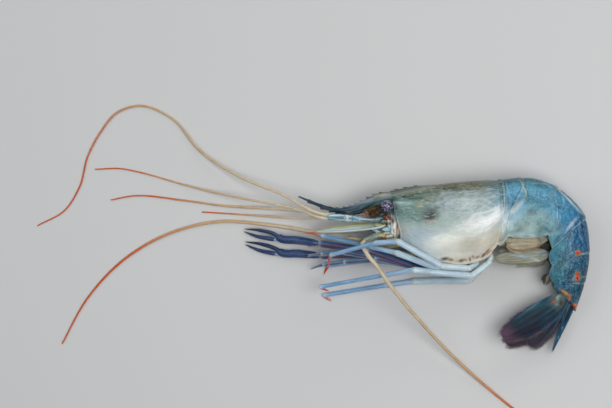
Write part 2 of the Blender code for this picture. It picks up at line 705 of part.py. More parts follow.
def eye(side_name, side, eye_material, stalk_material):
    centre, *bends = head_points((EYE_CENTRE, *STALK_BENDS), side)
    root, forward = face_root(STALK_LEVEL, side * STALK_LATERAL)
    towards = unit(centre - bends[-1])
    path = [root, root + forward * 0.9, *bends, centre - towards * (EYE_RADIUS + GAP)]
    sizes = [(size, size) for size in STALK_HALF_SIZES]
    lofted(f"eyestalk_{side_name}", path_rings(path, sizes, round_profile(LEG_SIDES)), stalk_material)
    ball, sizes = [], []
    for ring in range(EYE_RINGS):
        angle = math.pi * (ring + 0.5) / EYE_RINGS
        ball.append(centre - towards * EYE_RADIUS * math.cos(angle))
        sizes.append((EYE_RADIUS * math.sin(angle),) * 2)
    lofted(f"eye_{side_name}", path_rings(ball, sizes, round_profile(EYE_SIDES)), eye_material)


# Jointed bases on the face: level and lateral offset of the root, joints, and half thicknesses of the runs.
ANTENNULE = (0.2, 3.1, ((-43.5, 1.9, 3.5), (-50.0, 2.4, 3.6), (-58.6, 3.2, 3.7)), (1.75, 1.9, 1.75, 1.95))
ANTENNA = (-7.1, 4.2, ((-35.6, -7.0, 6.2), (-40.2, -9.3, 8.2)), (2.0, 2.0, 2.45))
BASE_NECK = 0.9


def feeler_base(name, side, level, lateral, places, radii, material):
    """Makes a feeler's base and returns its tip and the direction that it points in."""
    root, forward = face_root(level, side * lateral)
    joints = head_points(places, side)
    rings = limb_rings([root, root + forward * BASE_NECK, *joints], radii, radii[-1])
    lofted(name, rings, material)
    return joints[-1], unit(joints[-1] - joints[-2])


# Feelers: half thickness at the root and at the tip, how far the root lies to the back's side of the middle of
# the base's tip, the number of lengths that it is made in, and its route as (x, y, height of its underside).
FEELERS = {
    "antennule_outer_left": (0.85, 0.3, 1.0, 1, (
        (-82.5, 14.8, 12.0), (-102.0, 22.8, 6.0), (-123.0, 36.5, 1.2), (-137.0, 52.5, 0.0),
        (-154.0, 59.0, 0.0), (-164.0, 56.0, 0.0), (-173.5, 45.0, 0.0), (-179.5, 33.5, 0.0),
        (-183.5, 18.5, 0.0), (-191.0, 6.5, 0.0), (-205.0, -1.5, 0.0),
    )),
    "antennule_inner_left": (0.7, 0.3, -1.0, 1, (
        (-74.5, 7.0, 14.5), (-101.0, 12.2, 7.0), (-118.5, 16.0, 2.2), (-135.5, 20.5, 0.0),
        (-152.5, 25.3, 0.0), (-163.0, 27.3, 0.0), (-176.0, 27.0, 0.0),
    )),
    "antennule_outer_right": (0.85, 0.3, 1.0, 1, (
        (-74.0, 6.2, 7.0), (-91.5, 7.4, 2.2), (-110.0, 8.5, 0.0), (-132.5, 11.5, 0.0),
        (-157.5, 13.5, 0.0), (-168.0, 11.5, 0.0),
    )),
    "antennule_inner_right": (0.7, 0.3, -1.0, 1, (
        (-73.0, 2.4, 6.4), (-90.0, 3.4, 1.2), (-105.0, 4.4, 0.0), (-122.0, 5.5, 0.0),
    )),
    "antenna_left": (1.1, 0.35, 0.0, 2, (
        (-39.6, -14.6, 25.4), (-35.0, -20.5, 25.6), (-27.6, -31.0, 22.6), (-14.0, -47.5, 14.0),
        (8.5, -71.0, 3.4), (22.5, -83.5, 0.6), (33.5, -92.5, 0.0), (50.0, -104.5, 0.0),
        (70.0, -114.5, 0.0), (92.5, -119.5, 0.0),
    )),
    "antenna_right": (1.1, 0.35, 0.0, 2, (
        (-46.5, -10.6, 4.6), (-54.0, -9.0, 3.2), (-64.5, -5.4, 1.6), (-89.0, -1.0, 0.2),
        (-115.0, 0.5, 0.0), (-140.0, -6.0, 0.0), (-162.5, -19.5, 0.0), (-180.0, -38.5, 0.0),
        (-192.5, -61.0, 0.0),
    )),
}
FEELER_SPACING = 5.0
FEELER_SIDES = 6
FEELER_FLAT = math.cos(math.pi / FEELER_SIDES)  # from the middle of a feeler to its flat underside
FEELER_NECK = 0.8
FEELER_FINENESS = 400  # points along the curve that lengths are measured on


def feeler(name, base_tip, direction, material):
    """Makes a feeler from its base's tip outwards, in one piece or in lengths that meet end to end."""
    start, end, root_across, lengths, route = FEELERS[name]
    across = unit(np.array([-direction[1], direction[0], 0.0]))
    across = across if across[1] > 0 else -across
    root = base_tip + direction * GAP + across * root_across
    sizes = [start + (end - start) * i / len(route) for i in range(1, len(route) + 1)]
    points = [root, root + direction * FEELER_NECK]
    points += [np.array([x, y, low + size * FEELER_FLAT]) for (x, y, low), size in zip(route, sizes)]
    fine, reached = smooth_path(points, FEELER_FINENESS)
    total = reached[-1]
    for number in range(lengths):
        first = total * number / lengths + (GAP / 2 if number else 0.0)
        last = total * (number + 1) / lengths - (GAP / 2 if number < lengths - 1 else 0.0)
        count = round((last - first) / FEELER_SPACING)
        stops = [first + (last - first) * i / count for i in range(count + 1)]
        if number == 0:
            stops.insert(1, FEELER_NECK)
        path = [np.array([np.interp(stop, reached, fine[:, axis]) for axis in range(3)]) for stop in stops]
        halves = [(start + (end - start) * stop / total,) * 2 for stop in stops]
        length_name = f"{name}_{number + 1}" if lengths > 1 else name
        lofted(length_name, path_rings(path, halves, round_profile(FEELER_SIDES)), material)


# A blade is thickest along its midrib, so its section is a thin plate with a ridge on both faces.
BLADE_HALF = ((-1.0, 0.42), (-0.55, 0.5), (-0.14, 0.62), (0.0, 1.0), (0.14, 0.62), (0.55, 0.5), (1.0, 0.42))
BLADE_PROFILE = BLADE_HALF + tuple((u, -v) for u, v in BLADE_HALF[::-1])
BLADE_HALF_THICKNESS = 0.6
BLADE_RINGS = 12


def blade(name, root, square, tip, flat_axis, half_width, root_share, widest, material):
    """A leaf that leaves its root squarely and bends to its tip.

    Its width grows from root_share to full at the widest share of its length, then rounds off."""
    tip, flat = np.array(tip, float), unit(np.array(flat_axis, float))
    elbow = root + square * np.linalg.norm(tip - root) * 0.2
    path, sizes = [], []
    for i in range(BLADE_RINGS):
        share = math.sin(math.pi / 2 * i / (BLADE_RINGS - 1))
        if share < widest:
            width = half_width * (root_share + (1 - root_share) * math.sin(math.pi / 2 * share / widest))
        else:
            width = half_width * math.sqrt(max(0.0, 1 - ((share - widest) / (1 - widest)) ** 2.4))
        path.append(root * (1 - share) ** 2 + elbow * 2 * share * (1 - share) + tip * share**2)
        sizes.append((max(width, 0.5), BLADE_HALF_THICKNESS))
    path.insert(1, root + square * 0.5)
    sizes.insert(1, sizes[0])
    lofted(name, path_rings(path, sizes, BLADE_PROFILE, flat), material)


# The plate beside each antenna, with its outer edge lower than its inner one.
SCALE_LEVEL = -3.2
SCALE_LATERAL = 5.0
SCALE_TIP = (-64.5, -4.3, 9.8)
SCALE_HALF_WIDTH = 3.9
SCALE_FLAT = (0.0, 0.91, 0.41)


def antenna_scale(side_name, side, material):
    root, forward = face_root(SCALE_LEVEL, side * SCALE_LATERAL)
    flat = (SCALE_FLAT[0], SCALE_FLAT[1], side * SCALE_FLAT[2])
    (tip,) = head_points((SCALE_TIP,), side)
    name = f"antenna_scale_{side_name}"
    blade(name, root, forward, tip, flat, SCALE_HALF_WIDTH, 0.35, 0.45, material)


# Tail fan: a narrow telson along the back and two blades on each side of it, all rooted on the last segment's end.
# Each blade has its root's level and lateral offset there, its tip, the direction its faces look in and half width.
TELSON_TIP = (54.7, -64.0, 5.2)
TELSON_LEVEL = 1.8
TELSON_HALF_SIZES = ((3.3, 2.5), (3.3, 2.3), (2.8, 1.9), (2.1, 1.4), (1.3, 0.9), (0.5, 0.4))
TELSON_FLAT = (0.74, -0.36, 0.57)
FAN = {
    "uropod_outer_left": (-3.4, 5.4, (28.5, -57.0, 15.0), (0.12, 0.2, 1.0), 6.8),
    "uropod_inner_left": (-3.4, 3.9, (42.5, -61.5, 11.4), (0.12, 0.1, 1.0), 5.5),
    "uropod_outer_right": (-3.4, -5.4, (31.5, -61.0, 0.5), (0.0, 0.0, 1.0), 6.8),
    "uropod_inner_right": (-3.4, -3.9, (44.5, -62.5, 2.6), (0.0, 0.0, 1.0), 5.5),
}


def tail_root(level, lateral):
    """A point just clear of the last segment's end, and the direction square to it."""
    section = Section(TAIL_END)
    square = np.array([section.up[1], -section.up[0], 0.0])
    square = square if square[1] < 0 else -square
    return section.point(lateral, level) + square * GAP, square


def tail_fan(telson_material, blade_material):
    root, square = tail_root(TELSON_LEVEL, 0.0)
    tip = np.array(TELSON_TIP)
    count = len(TELSON_HALF_SIZES)
    path = [root + (tip - root) * i / (count - 1) for i in range(count)]
    path.insert(1, root + square * 0.6)
    sizes = (TELSON_HALF_SIZES[0], *TELSON_HALF_SIZES)
    lofted("telson", path_rings(path, sizes, round_profile(10), TELSON_FLAT), telson_material)
    for name, (level, lateral, tip, flat, half_width) in FAN.items():
        root, square = tail_root(level, lateral)
        blade(name, root, square, tip, flat, half_width, 0.3, 0.62, blade_material)


# Swimmerets: place along the body, lane from the middle plane, heading in degrees and length, each for the
# left and then the right, and half width.
SWIMMERETS = (
    (6.25, (6.2, -4.6), (-8, -8), (17.0, 17.0), 4.2),
    (8.7, (5.9, -5.4), (205, 209), (19.0, 18.0), 3.2),
    (10.3, (4.9, -5.6), (184, 200), (23.0, 16.0), 2.8),
    (11.55, (3.8, -4.2), (187, 204), (26.5, 12.0), 3.0),
    (12.5, (2.6, -2.4), (236, 236), (7.0, 7.0), 1.7),
)
SWIMMERET_STEM = 1.6
SWIMMERET_CLEARANCE = 0.22  # more than the gap, because the ceiling curves over a wide root
SWIMMERET_HALF_THICKNESS = 0.42
SWIMMERET_STOPS = ((0.2, 0.8), (0.45, 1.0), (0.7, 0.95), (0.9, 0.6), (1.0, 0.15))  # share of length, of width


def swimmeret(number, side_name, material):
    place, lanes, headings, lengths, half_width = SWIMMERETS[number]
    side = 0 if side_name == "left" else 1
    root, square = underside(place, lanes[side], groove_ceiling)
    heading = math.radians(headings[side])
    length = lengths[side]
    along = np.array([math.cos(heading), math.sin(heading), 0.0])
    root = root + square * SWIMMERET_CLEARANCE
    knee = root + square * SWIMMERET_STEM
    path = [root, knee] + [knee + along * length * share for share, _ in SWIMMERET_STOPS]
    sizes = [(half_width * 0.4, 0.55), (half_width * 0.45, 0.5)]
    sizes += [(half_width * width, SWIMMERET_HALF_THICKNESS) for _, width in SWIMMERET_STOPS]
    name = f"swimmeret_{number + 1}_{side_name}"
    lofted(name, path_rings(path, sizes, round_profile(8), (0.0, 0.0, 1.0)), material)


def main():
    for old in list(bpy.data.objects):
        bpy.data.objects.remove(old, do_unlink=True)
    paint = {name: material_of(name) for name in COLOURS}
    carapace = body_plate("carapace", 0, 6, CARAPACE_RINGS, CARAPACE_CORNER, paint["shell_pale"])
    fuse(carapace, carapace_spines(paint["shell_pale"]))
    for name, start, end in SEGMENTS:
        body_plate(name, start, end, SEGMENT_RINGS, SEGMENT_CORNER, paint["shell_blue"])
    face(paint["limb_blue"])
    rostrum(paint["shell_blue"])
    sternum(paint["membrane"])
    tail_fan(paint["shell_blue"], paint["tail_blue"])
    for name, (place, lateral, joints) in LEGS.items():
        leg(name, place, lateral, joints, paint["limb_blue"])
    for side_name, (place, lateral, joints, palm_end, tip) in ARMS.items():
        arm(side_name, place, lateral, joints, palm_end, tip, paint["limb_blue"], paint["claw_blue"])
    for side_name, side in (("left", 1), ("right", -1)):
        mouth_leg(f"mouth_leg_{side_name}", side, paint["membrane"])
        eye(side_name, side, paint["eye"], paint["stalk"])
        antenna_scale(side_name, side, paint["limb_blue"])
        tip, direction = feeler_base(f"antennule_{side_name}", side, *ANTENNULE, paint["limb_blue"])
        feeler(f"antennule_outer_{side_name}", tip, direction, paint["feeler"])
        feeler(f"antennule_inner_{side_name}", tip, direction, paint["feeler"])
        tip, direction = feeler_base(f"antenna_{side_name}", side, *ANTENNA, paint["limb_blue"])
        feeler(f"antenna_{side_name}", tip, direction, paint["feeler"])
        for number in range(len(SWIMMERETS)):
            swimmeret(number, side_name, paint["membrane"])
    prawn = bpy.data.objects.new("prawn", None)
    bpy.context.scene.collection.objects.link(prawn)
    for piece in list(bpy.context.scene.objects):
        if piece is not prawn:
            piece.parent = prawn


main()
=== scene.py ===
"""Looks of the giant freshwater prawn: shell plates, jointed limbs, ringed feelers, fringes, wet surfaces.

Sizes are in millimetres, in the frame of the solids, and become metres as each mesh is made.
"""

import math

import bpy
import numpy as np
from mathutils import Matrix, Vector


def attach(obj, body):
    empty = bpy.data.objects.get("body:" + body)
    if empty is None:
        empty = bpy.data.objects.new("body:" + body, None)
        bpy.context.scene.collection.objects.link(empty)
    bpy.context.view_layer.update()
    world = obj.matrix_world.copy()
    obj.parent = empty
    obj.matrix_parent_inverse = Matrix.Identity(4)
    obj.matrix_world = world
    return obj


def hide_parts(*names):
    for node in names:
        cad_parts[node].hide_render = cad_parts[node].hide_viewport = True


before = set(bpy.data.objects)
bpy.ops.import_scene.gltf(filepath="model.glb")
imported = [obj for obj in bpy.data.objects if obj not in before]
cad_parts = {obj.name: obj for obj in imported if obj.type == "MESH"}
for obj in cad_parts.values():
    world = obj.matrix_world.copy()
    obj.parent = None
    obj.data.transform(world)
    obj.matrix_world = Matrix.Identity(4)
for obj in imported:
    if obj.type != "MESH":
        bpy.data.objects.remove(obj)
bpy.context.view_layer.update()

MM = 0.001
SEED = 7
RANDOM = np.random.default_rng(SEED)
SIDES = (("left", 1), ("right", -1))
UP = (0.0, 0.0, 1.0)


# Curves and small vector helpers

def unit(vectors):
    vectors = np.asarray(vectors, float)
    return vectors / np.maximum(np.linalg.norm(vectors, axis=-1, keepdims=True), 1e-12)


def curve(values, places):
    """The smooth curve through values, read at an array of places along them."""
    values, places = np.asarray(values, float), np.asarray(places, float)
    padded = np.concatenate([[2 * values[0] - values[1]], values, [2 * values[-1] - values[-2]]])
    low = np.clip(np.floor(places).astype(int), 0, len(values) - 2)
    t = places - low
    if values.ndim > 1:
        t = t[..., None]
    a, b, c, d = (padded[low + i] for i in range(4))
    return 0.5 * (2 * b + (c - a) * t + (2 * a - 5 * b + 4 * c - d) * t**2 + (3 * b - a - 3 * c + d) * t**3)


def smooth(value, start, end):
    """0 before start and 1 after end, with an even turn between them. start may lie after end."""
    t = np.clip((np.asarray(value, float) - start) / (end - start), 0.0, 1.0)
    return t * t * (3 - 2 * t)


def bell(value, centre, width):
    """1 at the centre, falling away on both sides of it."""
    return np.exp(-(((np.asarray(value, float) - centre) / width) ** 2))


def colour(red, green, blue):
    """A colour as it is seen, from 0 to 255, turned into the linear values that shaders use."""
    shown = np.array([red, green, blue], float) / 255
    return np.where(shown <= 0.04045, shown / 12.92, ((shown + 0.055) / 1.055) ** 2.4)


def mixed(first, second, share):
    """The first colours with a share of the second ones mixed in."""
    share = np.asarray(share, float)[..., None]
    return first * (1 - share) + second * share


def smooth_path(points, count):
    """count + 1 points along a smooth curve through unevenly spaced points, and the length to each."""
    points = np.array(points, float)
    spans = np.linalg.norm(np.diff(points, axis=0), axis=1)
    knots = np.concatenate([[0.0], np.cumsum(spans)])
    slopes = np.diff(points, axis=0) / spans[:, None]
    inner = slopes[:-1] * spans[1:, None] + slopes[1:] * spans[:-1, None]
    inner = inner / (spans[1:] + spans[:-1])[:, None]
    speeds = np.vstack([slopes[:1], inner, slopes[-1:]])
    reach = np.linspace(0.0, knots[-1], count + 1)
    i = np.clip(np.searchsorted(knots, reach, side="right") - 1, 0, len(spans) - 1)
    t = ((reach - knots[i]) / spans[i])[:, None]
    path = (2 * t**3 - 3 * t**2 + 1) * points[i] + (3 * t**2 - 2 * t**3) * points[i + 1]
    path += ((t**3 - 2 * t**2 + t) * speeds[i] + (t**3 - t**2) * speeds[i + 1]) * spans[i][:, None]
    lengths = np.linalg.norm(np.diff(path, axis=0), axis=1)
    return path, np.concatenate([[0.0], np.cumsum(lengths)])


def along_path(path, reached, stops):
    """The points of a path at stops, where reached is how far along it each of its own points lies."""
    return np.stack([np.interp(stops, reached, path[:, axis]) for axis in range(3)], axis=1)


# Shapes are gathered from surfaces, each with its own colours, and become one piece

SHARP_ANGLE = 62  # edges that bend more than this stay sharp, in degrees


def placed(name, data):
    """A new object with this data, linked to the scene."""
    obj = bpy.data.objects.new(name, data)
    bpy.context.scene.collection.objects.link(obj)
    return obj


class Shape:
    def __init__(self):
        self.points, self.faces, self.tints, self.grains, self.looks, self.count = [], [], [], [], [], 0

    def add(self, points, faces, tints, look=0, grain=None, streak=0.0):
        """tints are linear colours. grain is where the points lie in the pattern of the streaks, in mm."""
        points = np.asarray(points, float).reshape(-1, 3)
        tints = np.broadcast_to(np.asarray(tints, float).reshape(-1, 3), points.shape)
        streak = np.broadcast_to(np.asarray(streak, float).reshape(-1), len(points))
        self.points.append(points)
        self.tints.append(np.column_stack([np.clip(tints, 0.0, 1.0), np.clip(streak, 0.0, 1.0)]))
        self.grains.append(points if grain is None else np.asarray(grain, float).reshape(-1, 3))
        self.faces += [tuple(int(corner) + self.count for corner in face) for face in faces]
        self.looks += [look] * len(faces)
        self.count += len(points)

    def build(self, name, materials, slot, *nodes):
        points = np.concatenate(self.points)
        points[:, 2] = np.maximum(points[:, 2], 0.0)
        mesh = bpy.data.meshes.new(name)
        mesh.from_pydata((points * MM).tolist(), [], self.faces)
        tint = mesh.color_attributes.new("tint", "FLOAT_COLOR", "POINT")
        tint.data.foreach_set("color", np.concatenate(self.tints).ravel())
        grain = mesh.attributes.new("grain", "FLOAT_VECTOR", "POINT")
        grain.data.foreach_set("vector", np.concatenate(self.grains).ravel())
        for material in materials:
            mesh.materials.append(material)
        mesh.polygons.foreach_set("material_index", self.looks)
        mesh.shade_smooth()
        mesh.set_sharp_from_angle(angle=math.radians(SHARP_ANGLE))
        obj = placed(name, mesh)
        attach(obj, "root")
        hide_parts(*nodes)


def capped_faces(rows, columns):
    """Faces of a closed tube of rows with a fan on each end: two more points follow the rows."""
    around = [(i, (i + 1) % columns) for i in range(columns)]
    faces = []
    for base in range(0, (rows - 1) * columns, columns):
        faces += [(base + i, base + j, base + columns + j, base + columns + i) for i, j in around]
    first, last, base = rows * columns, rows * columns + 1, (rows - 1) * columns
    return faces + [(j, i, first) for i, j in around] + [(base + i, base + j, last) for i, j in around]


def frames(path, flat_axis=None):
    """The directions across and of the thickness along a path. The thickness keeps to flat_axis."""
    runs = unit(np.diff(path, axis=0))
    along = unit(np.vstack([runs[:1], runs[:-1] + runs[1:], runs[-1:]]))
    guide = np.array(UP if flat_axis is None else flat_axis, float)
    if flat_axis is None and abs(guide.dot(along[0])) > 0.95:
        guide = np.array([0.0, 1.0, 0.0])
    thick = np.empty_like(along)
    for i, way in enumerate(along):
        thick[i] = unit(guide - way * guide.dot(way))
        if flat_axis is None:
            guide = thick[i]
    return np.cross(along, thick), thick


def circle(sides):
    """A round profile of radius 1 for sweep."""
    turns = np.linspace(0, 2 * math.pi, sides, endpoint=False)
    return np.stack([np.cos(turns), np.sin(turns)], axis=1)


def sweep(path, widths, thicknesses, profile, flat_axis=None, cup=0.0):
    """Rows of a profile along a path. cup bends the profile's two sides towards the thickness axis."""
    across, thick = frames(path, flat_axis)
    widths, thicknesses = (np.asarray(sizes, float)[:, None, None] for sizes in (widths, thicknesses))
    u, v = profile[None, :, :1], profile[None, :, 1:]
    rise = thicknesses * v + cup * widths * u**2
    return path[:, None, :] + across[:, None, :] * widths * u + thick[:, None, :] * rise


def add_rows(shape, rows, tints, look=0, ends=None, grain=None, streak=0.5):
    """Adds a closed tube of rows. tints is one colour, one for each row, or one for each point."""
    count, sides, _ = rows.shape
    centres = rows.mean(axis=1)
    middles = np.array([centres[0], centres[-1]] if ends is None else ends)
    tints = np.asarray(tints, float)
    if tints.ndim < 3:
        tints = np.broadcast_to(tints if tints.ndim == 1 else tints[:, None, :], (count, sides, 3))
    if grain is None:
        along = np.concatenate([[0.0], np.cumsum(np.linalg.norm(np.diff(centres, axis=0), axis=1))])
        girth = 2 * math.pi * np.linalg.norm(rows - centres[:, None], axis=2).mean()
        grain = np.zeros((count, sides, 3))
        grain[..., 0] = along[:, None]
        grain[..., 1] = np.linspace(0, girth, sides, endpoint=False)
        grain[..., 2] = RANDOM.uniform(0, 50)
    streak = np.broadcast_to(streak, (count, sides))
    tints, grain = (
        np.concatenate([part.reshape(count * sides, -1), part[0, :1], part[-1, :1]])
        for part in (tints, grain)
    )
    streak = np.concatenate([streak.reshape(-1), [0.0, 0.0]])
    points = np.concatenate([rows.reshape(-1, 3), middles])
    shape.add(points, capped_faces(count, sides), tints, look, grain, streak)


HAIR_SIDES = 3
HAIR_RINGS = ((-0.06, 1.0), (0.5, 0.6))  # share of the length, and of the thickness, before the tip
THIN_HAIR = 0.05  # half thickness of the legs' and the rostrum's hairs
FRINGE_HAIR = 0.055


def add_hairs(shape, roots, ways, lengths, thickness, tints, look=0):
    """Many tapered bristles, each with its own root, direction and length."""
    roots, ways, lengths, count = np.asarray(roots, float), unit(ways), lengths[:, None], len(roots)
    helper = np.where(np.abs(ways[:, 2:]) > 0.9, [[1.0, 0.0, 0.0]], [UP])
    across = unit(np.cross(ways, helper))
    thick = np.cross(ways, across)
    ring = circle(HAIR_SIDES)
    around = across[:, None] * ring[None, :, :1] + thick[:, None] * ring[None, :, 1:]
    rows = [
        (roots + ways * lengths * share)[:, None] + thickness * scale * around for share, scale in HAIR_RINGS
    ]
    tip = roots + ways * lengths
    points = np.concatenate([*rows, tip[:, None]], axis=1)
    size = 2 * HAIR_SIDES + 1
    one = []
    for i in range(HAIR_SIDES):
        j = (i + 1) % HAIR_SIDES
        one += [(i, j, HAIR_SIDES + j, HAIR_SIDES + i), (HAIR_SIDES + i, HAIR_SIDES + j, 2 * HAIR_SIDES)]
    one.append(tuple(range(HAIR_SIDES))[::-1])
    faces = [tuple(corner + hair * size for corner in face) for hair in range(count) for face in one]
    tints = np.broadcast_to(np.asarray(tints, float), (count, 3))
    shape.add(points, faces, np.repeat(tints, size, axis=0), look)


# Materials: each takes its markings from the mesh's colours, and adds streaks, grain and wetness

NOISE_ROUGHNESS = 0.55
COAT_ROUGHNESS = 0.1
DARK_STREAK = (0.25, 0.3, 0.34, 1.0)
SCATTER_COLOURS = (1.0, 0.9, 0.75)
SCATTER_DEPTH = 1.2  # how far light goes into the soft parts, in mm


def new_node(tree, kind, **values):
    """A node with its settings, and with its inputs where a value's name starts with a capital."""
    node = tree.nodes.new(kind)
    for key, value in values.items():
        if key[0].isupper():
            node.inputs[key.replace("_", " ")].default_value = value
        else:
            setattr(node, key, value)
    return node


def noise(tree, source, stretch, scale, detail, distortion=0.0):
    mapping = new_node(tree, "ShaderNodeMapping", Scale=stretch)
    settings = {"Scale": scale, "Detail": detail, "Roughness": NOISE_ROUGHNESS, "Distortion": distortion}
    node = new_node(tree, "ShaderNodeTexNoise", **settings)
    tree.links.new(source, mapping.inputs["Vector"])
    tree.links.new(mapping.outputs["Vector"], node.inputs["Vector"])
    return node.outputs["Fac"]


def ranged(tree, source, low, high, to_low, to_high):
    node = new_node(tree, "ShaderNodeMapRange", From_Min=low, From_Max=high, To_Min=to_low, To_Max=to_high)
    tree.links.new(source, node.inputs["Value"])
    return node.outputs["Result"]


def product(tree, first, second):
    node = new_node(tree, "ShaderNodeMath", operation="MULTIPLY")
    tree.links.new(first, node.inputs[0])
    tree.links.new(second, node.inputs[1])
    return node.outputs["Value"]


def blended(tree, base, over, factor, blend="MIX"):
    """Mixes the colour over, given as a link or as values, on base by the linked factor."""
    node = new_node(tree, "ShaderNodeMix", data_type="RGBA", blend_type=blend)
    tree.links.new(factor, node.inputs[0])
    tree.links.new(base, node.inputs[6])
    if isinstance(over, tuple):
        node.inputs[7].default_value = over
    else:
        tree.links.new(over, node.inputs[7])
    return node.outputs[2]


def bumped(tree, height, rise, below=None):
    node = new_node(tree, "ShaderNodeBump", Strength=1.0, Distance=rise * MM)
    tree.links.new(height, node.inputs["Height"])
    if below is not None:
        tree.links.new(below, node.inputs["Normal"])
    return node.outputs["Normal"]


def wet_material(
    name, roughness=0.3, mottle=0.14, mottle_scale=0.3, stretch=(0.4, 1, 1), streaks=0.5, streak_scale=0.8,
    streak_stretch=(0.09, 1, 1), streak_colour=(222, 232, 236), waves=0.5, speck=0.0, speck_scale=1.2,
    speck_size=1.0, speck_colour=(20, 30, 40), fine=3.0, rise=0.03, wrinkle=0.0, wrinkle_scale=0.32,
    coat=0.5, subsurface=0.0, specular=0.5,
):
    """A wet surface. Scales are in features for each millimetre, rise and wrinkle are heights in millimetres.

    mottle is how far the brightness wanders, and streaks how strong the lines along the grain are.
    """
    material = bpy.data.materials.new(name)
    material.use_nodes = True
    tree = material.node_tree
    shader = tree.nodes["Principled BSDF"]
    tint = new_node(tree, "ShaderNodeAttribute", attribute_name="tint")
    grain = new_node(tree, "ShaderNodeAttribute", attribute_name="grain").outputs["Vector"]
    clouds = noise(tree, grain, stretch, mottle_scale, 5.0)
    lines = noise(tree, grain, streak_stretch, streak_scale, 4.0, waves)
    light = new_node(tree, "ShaderNodeVectorMath", operation="SCALE")
    tree.links.new(tint.outputs["Color"], light.inputs[0])
    tree.links.new(ranged(tree, clouds, 0.3, 0.7, 1 - mottle, 1 + mottle), light.inputs["Scale"])
    shown = light.outputs["Vector"]
    pale = product(tree, ranged(tree, lines, 0.52, 0.66, 0.0, streaks), tint.outputs["Alpha"])
    dark = product(tree, ranged(tree, lines, 0.49, 0.3, 0.0, streaks * 0.9), tint.outputs["Alpha"])
    shown = blended(tree, shown, (*colour(*streak_colour), 1.0), pale)
    shown = blended(tree, shown, DARK_STREAK, dark, "MULTIPLY")
    if speck:
        dots = new_node(tree, "ShaderNodeTexVoronoi", Scale=speck_scale)
        tree.links.new(grain, dots.inputs["Vector"])
        spots = ranged(tree, dots.outputs["Distance"], 0.12 * speck_size, 0.32 * speck_size, speck, 0.0)
        shown = blended(tree, shown, (*colour(*speck_colour), 1.0), spots)
    tree.links.new(shown, shader.inputs["Base Color"])
    rough = ranged(tree, lines, 0.35, 0.65, roughness * 0.5, roughness * 1.6)
    tree.links.new(rough, shader.inputs["Roughness"])
    normal = bumped(tree, noise(tree, grain, (1, 1, 1), fine, 2.0), rise)
    if wrinkle:
        normal = bumped(tree, noise(tree, grain, (0.35, 1, 1), wrinkle_scale, 3.0, 0.6), wrinkle, normal)
        tree.links.new(normal, shader.inputs["Coat Normal"])
    tree.links.new(normal, shader.inputs["Normal"])
    shader.inputs["Specular IOR Level"].default_value = specular
    shader.inputs["Coat Weight"].default_value = coat
    shader.inputs["Coat Roughness"].default_value = COAT_ROUGHNESS
    if subsurface:
        shader.inputs["Subsurface Weight"].default_value = subsurface
        shader.inputs["Subsurface Radius"].default_value = SCATTER_COLOURS
        shader.inputs["Subsurface Scale"].default_value = SCATTER_DEPTH * MM
    return material


SHELL = wet_material(
    "wet_shell", roughness=0.36, mottle=0.2, mottle_scale=0.16, streaks=0.5, streak_scale=0.7,
    streak_stretch=(0.2, 1, 1), waves=2.6, speck=0.1, speck_scale=1.1, speck_colour=(50, 70, 80), rise=0.03,
    wrinkle=0.5, wrinkle_scale=0.24, coat=0.16, subsurface=0.1,
)
TAIL_SEGMENTS = wet_material(
    "wet_tail_segments", roughness=0.38, mottle=0.46, mottle_scale=0.18, stretch=(0.9, 1, 1), streaks=0.8,
    streak_scale=0.4, streak_stretch=(0.7, 1, 1), streak_colour=(136, 190, 214), waves=3.0, speck=0.2,
    speck_scale=1.0, speck_size=1.6, speck_colour=(120, 182, 210), rise=0.04, wrinkle=0.4,
    wrinkle_scale=0.4, coat=0.12, subsurface=0.04, specular=0.25,
)
BLADE_SHELL = wet_material(
    "wet_blade_shell", roughness=0.34, mottle=0.2, mottle_scale=0.4, streaks=0.6, streak_scale=1.2,
    streak_colour=(140, 170, 184), waves=0.4, rise=0.03, wrinkle=0.2, coat=0.08, specular=0.22,
)
TAIL_SHELL = wet_material(
    "wet_tail_shell", roughness=0.4, mottle=0.35, mottle_scale=0.5, streaks=0.3, streak_scale=1.3,
    streak_colour=(50, 96, 120), speck=0.2, speck_scale=1.6, speck_colour=(70, 56, 76), wrinkle=0.2,
    coat=0.0, specular=0.14,
)
LIMB = wet_material(
    "wet_limb", roughness=0.3, mottle=0.14, mottle_scale=0.4, streaks=0.5, streak_scale=1.2, speck=0.08,
    speck_scale=1.8, speck_colour=(70, 110, 150), wrinkle=0.2, coat=0.35, subsurface=0.12, specular=0.4,
)
CLAW = wet_material(
    "claw_shell", roughness=0.36, mottle=0.22, mottle_scale=0.5, streaks=0.25,
    streak_colour=(120, 160, 200), speck=0.3, speck_scale=1.3, speck_colour=(120, 150, 190), rise=0.05,
    wrinkle=0.15, coat=0.35,
)
FEELER = wet_material(
    "feeler_rings", roughness=0.42, mottle=0.14, mottle_scale=0.7, streaks=0.15, coat=0.1, specular=0.2,
)
EYE = wet_material(
    "eye_facets", roughness=0.26, mottle=0.4, mottle_scale=0.9, stretch=(1, 1, 1), streaks=0.0, speck=0.8,
    speck_scale=1.5, speck_size=1.7, speck_colour=(176, 176, 204), fine=5.0, rise=0.05, coat=0.4,
)
BRISTLE = wet_material(
    "bristle_brown", roughness=0.5, mottle=0.4, mottle_scale=0.9, streaks=0.2, coat=0.0, specular=0.3,
)
FLESH = wet_material(
    "moist_membrane", roughness=0.42, mottle=0.25, mottle_scale=0.5, streaks=0.45, streak_scale=1.5,
    streak_colour=(206, 204, 188), speck=0.12, speck_scale=1.5, speck_colour=(120, 88, 50), wrinkle=0.3,
    coat=0.2, subsurface=0.1, specular=0.35,
)
FRINGE = wet_material("fringe_hair", roughness=0.45, mottle=0.25, mottle_scale=0.8, streaks=0.0, coat=0.2)


# The body's form, as in the solids

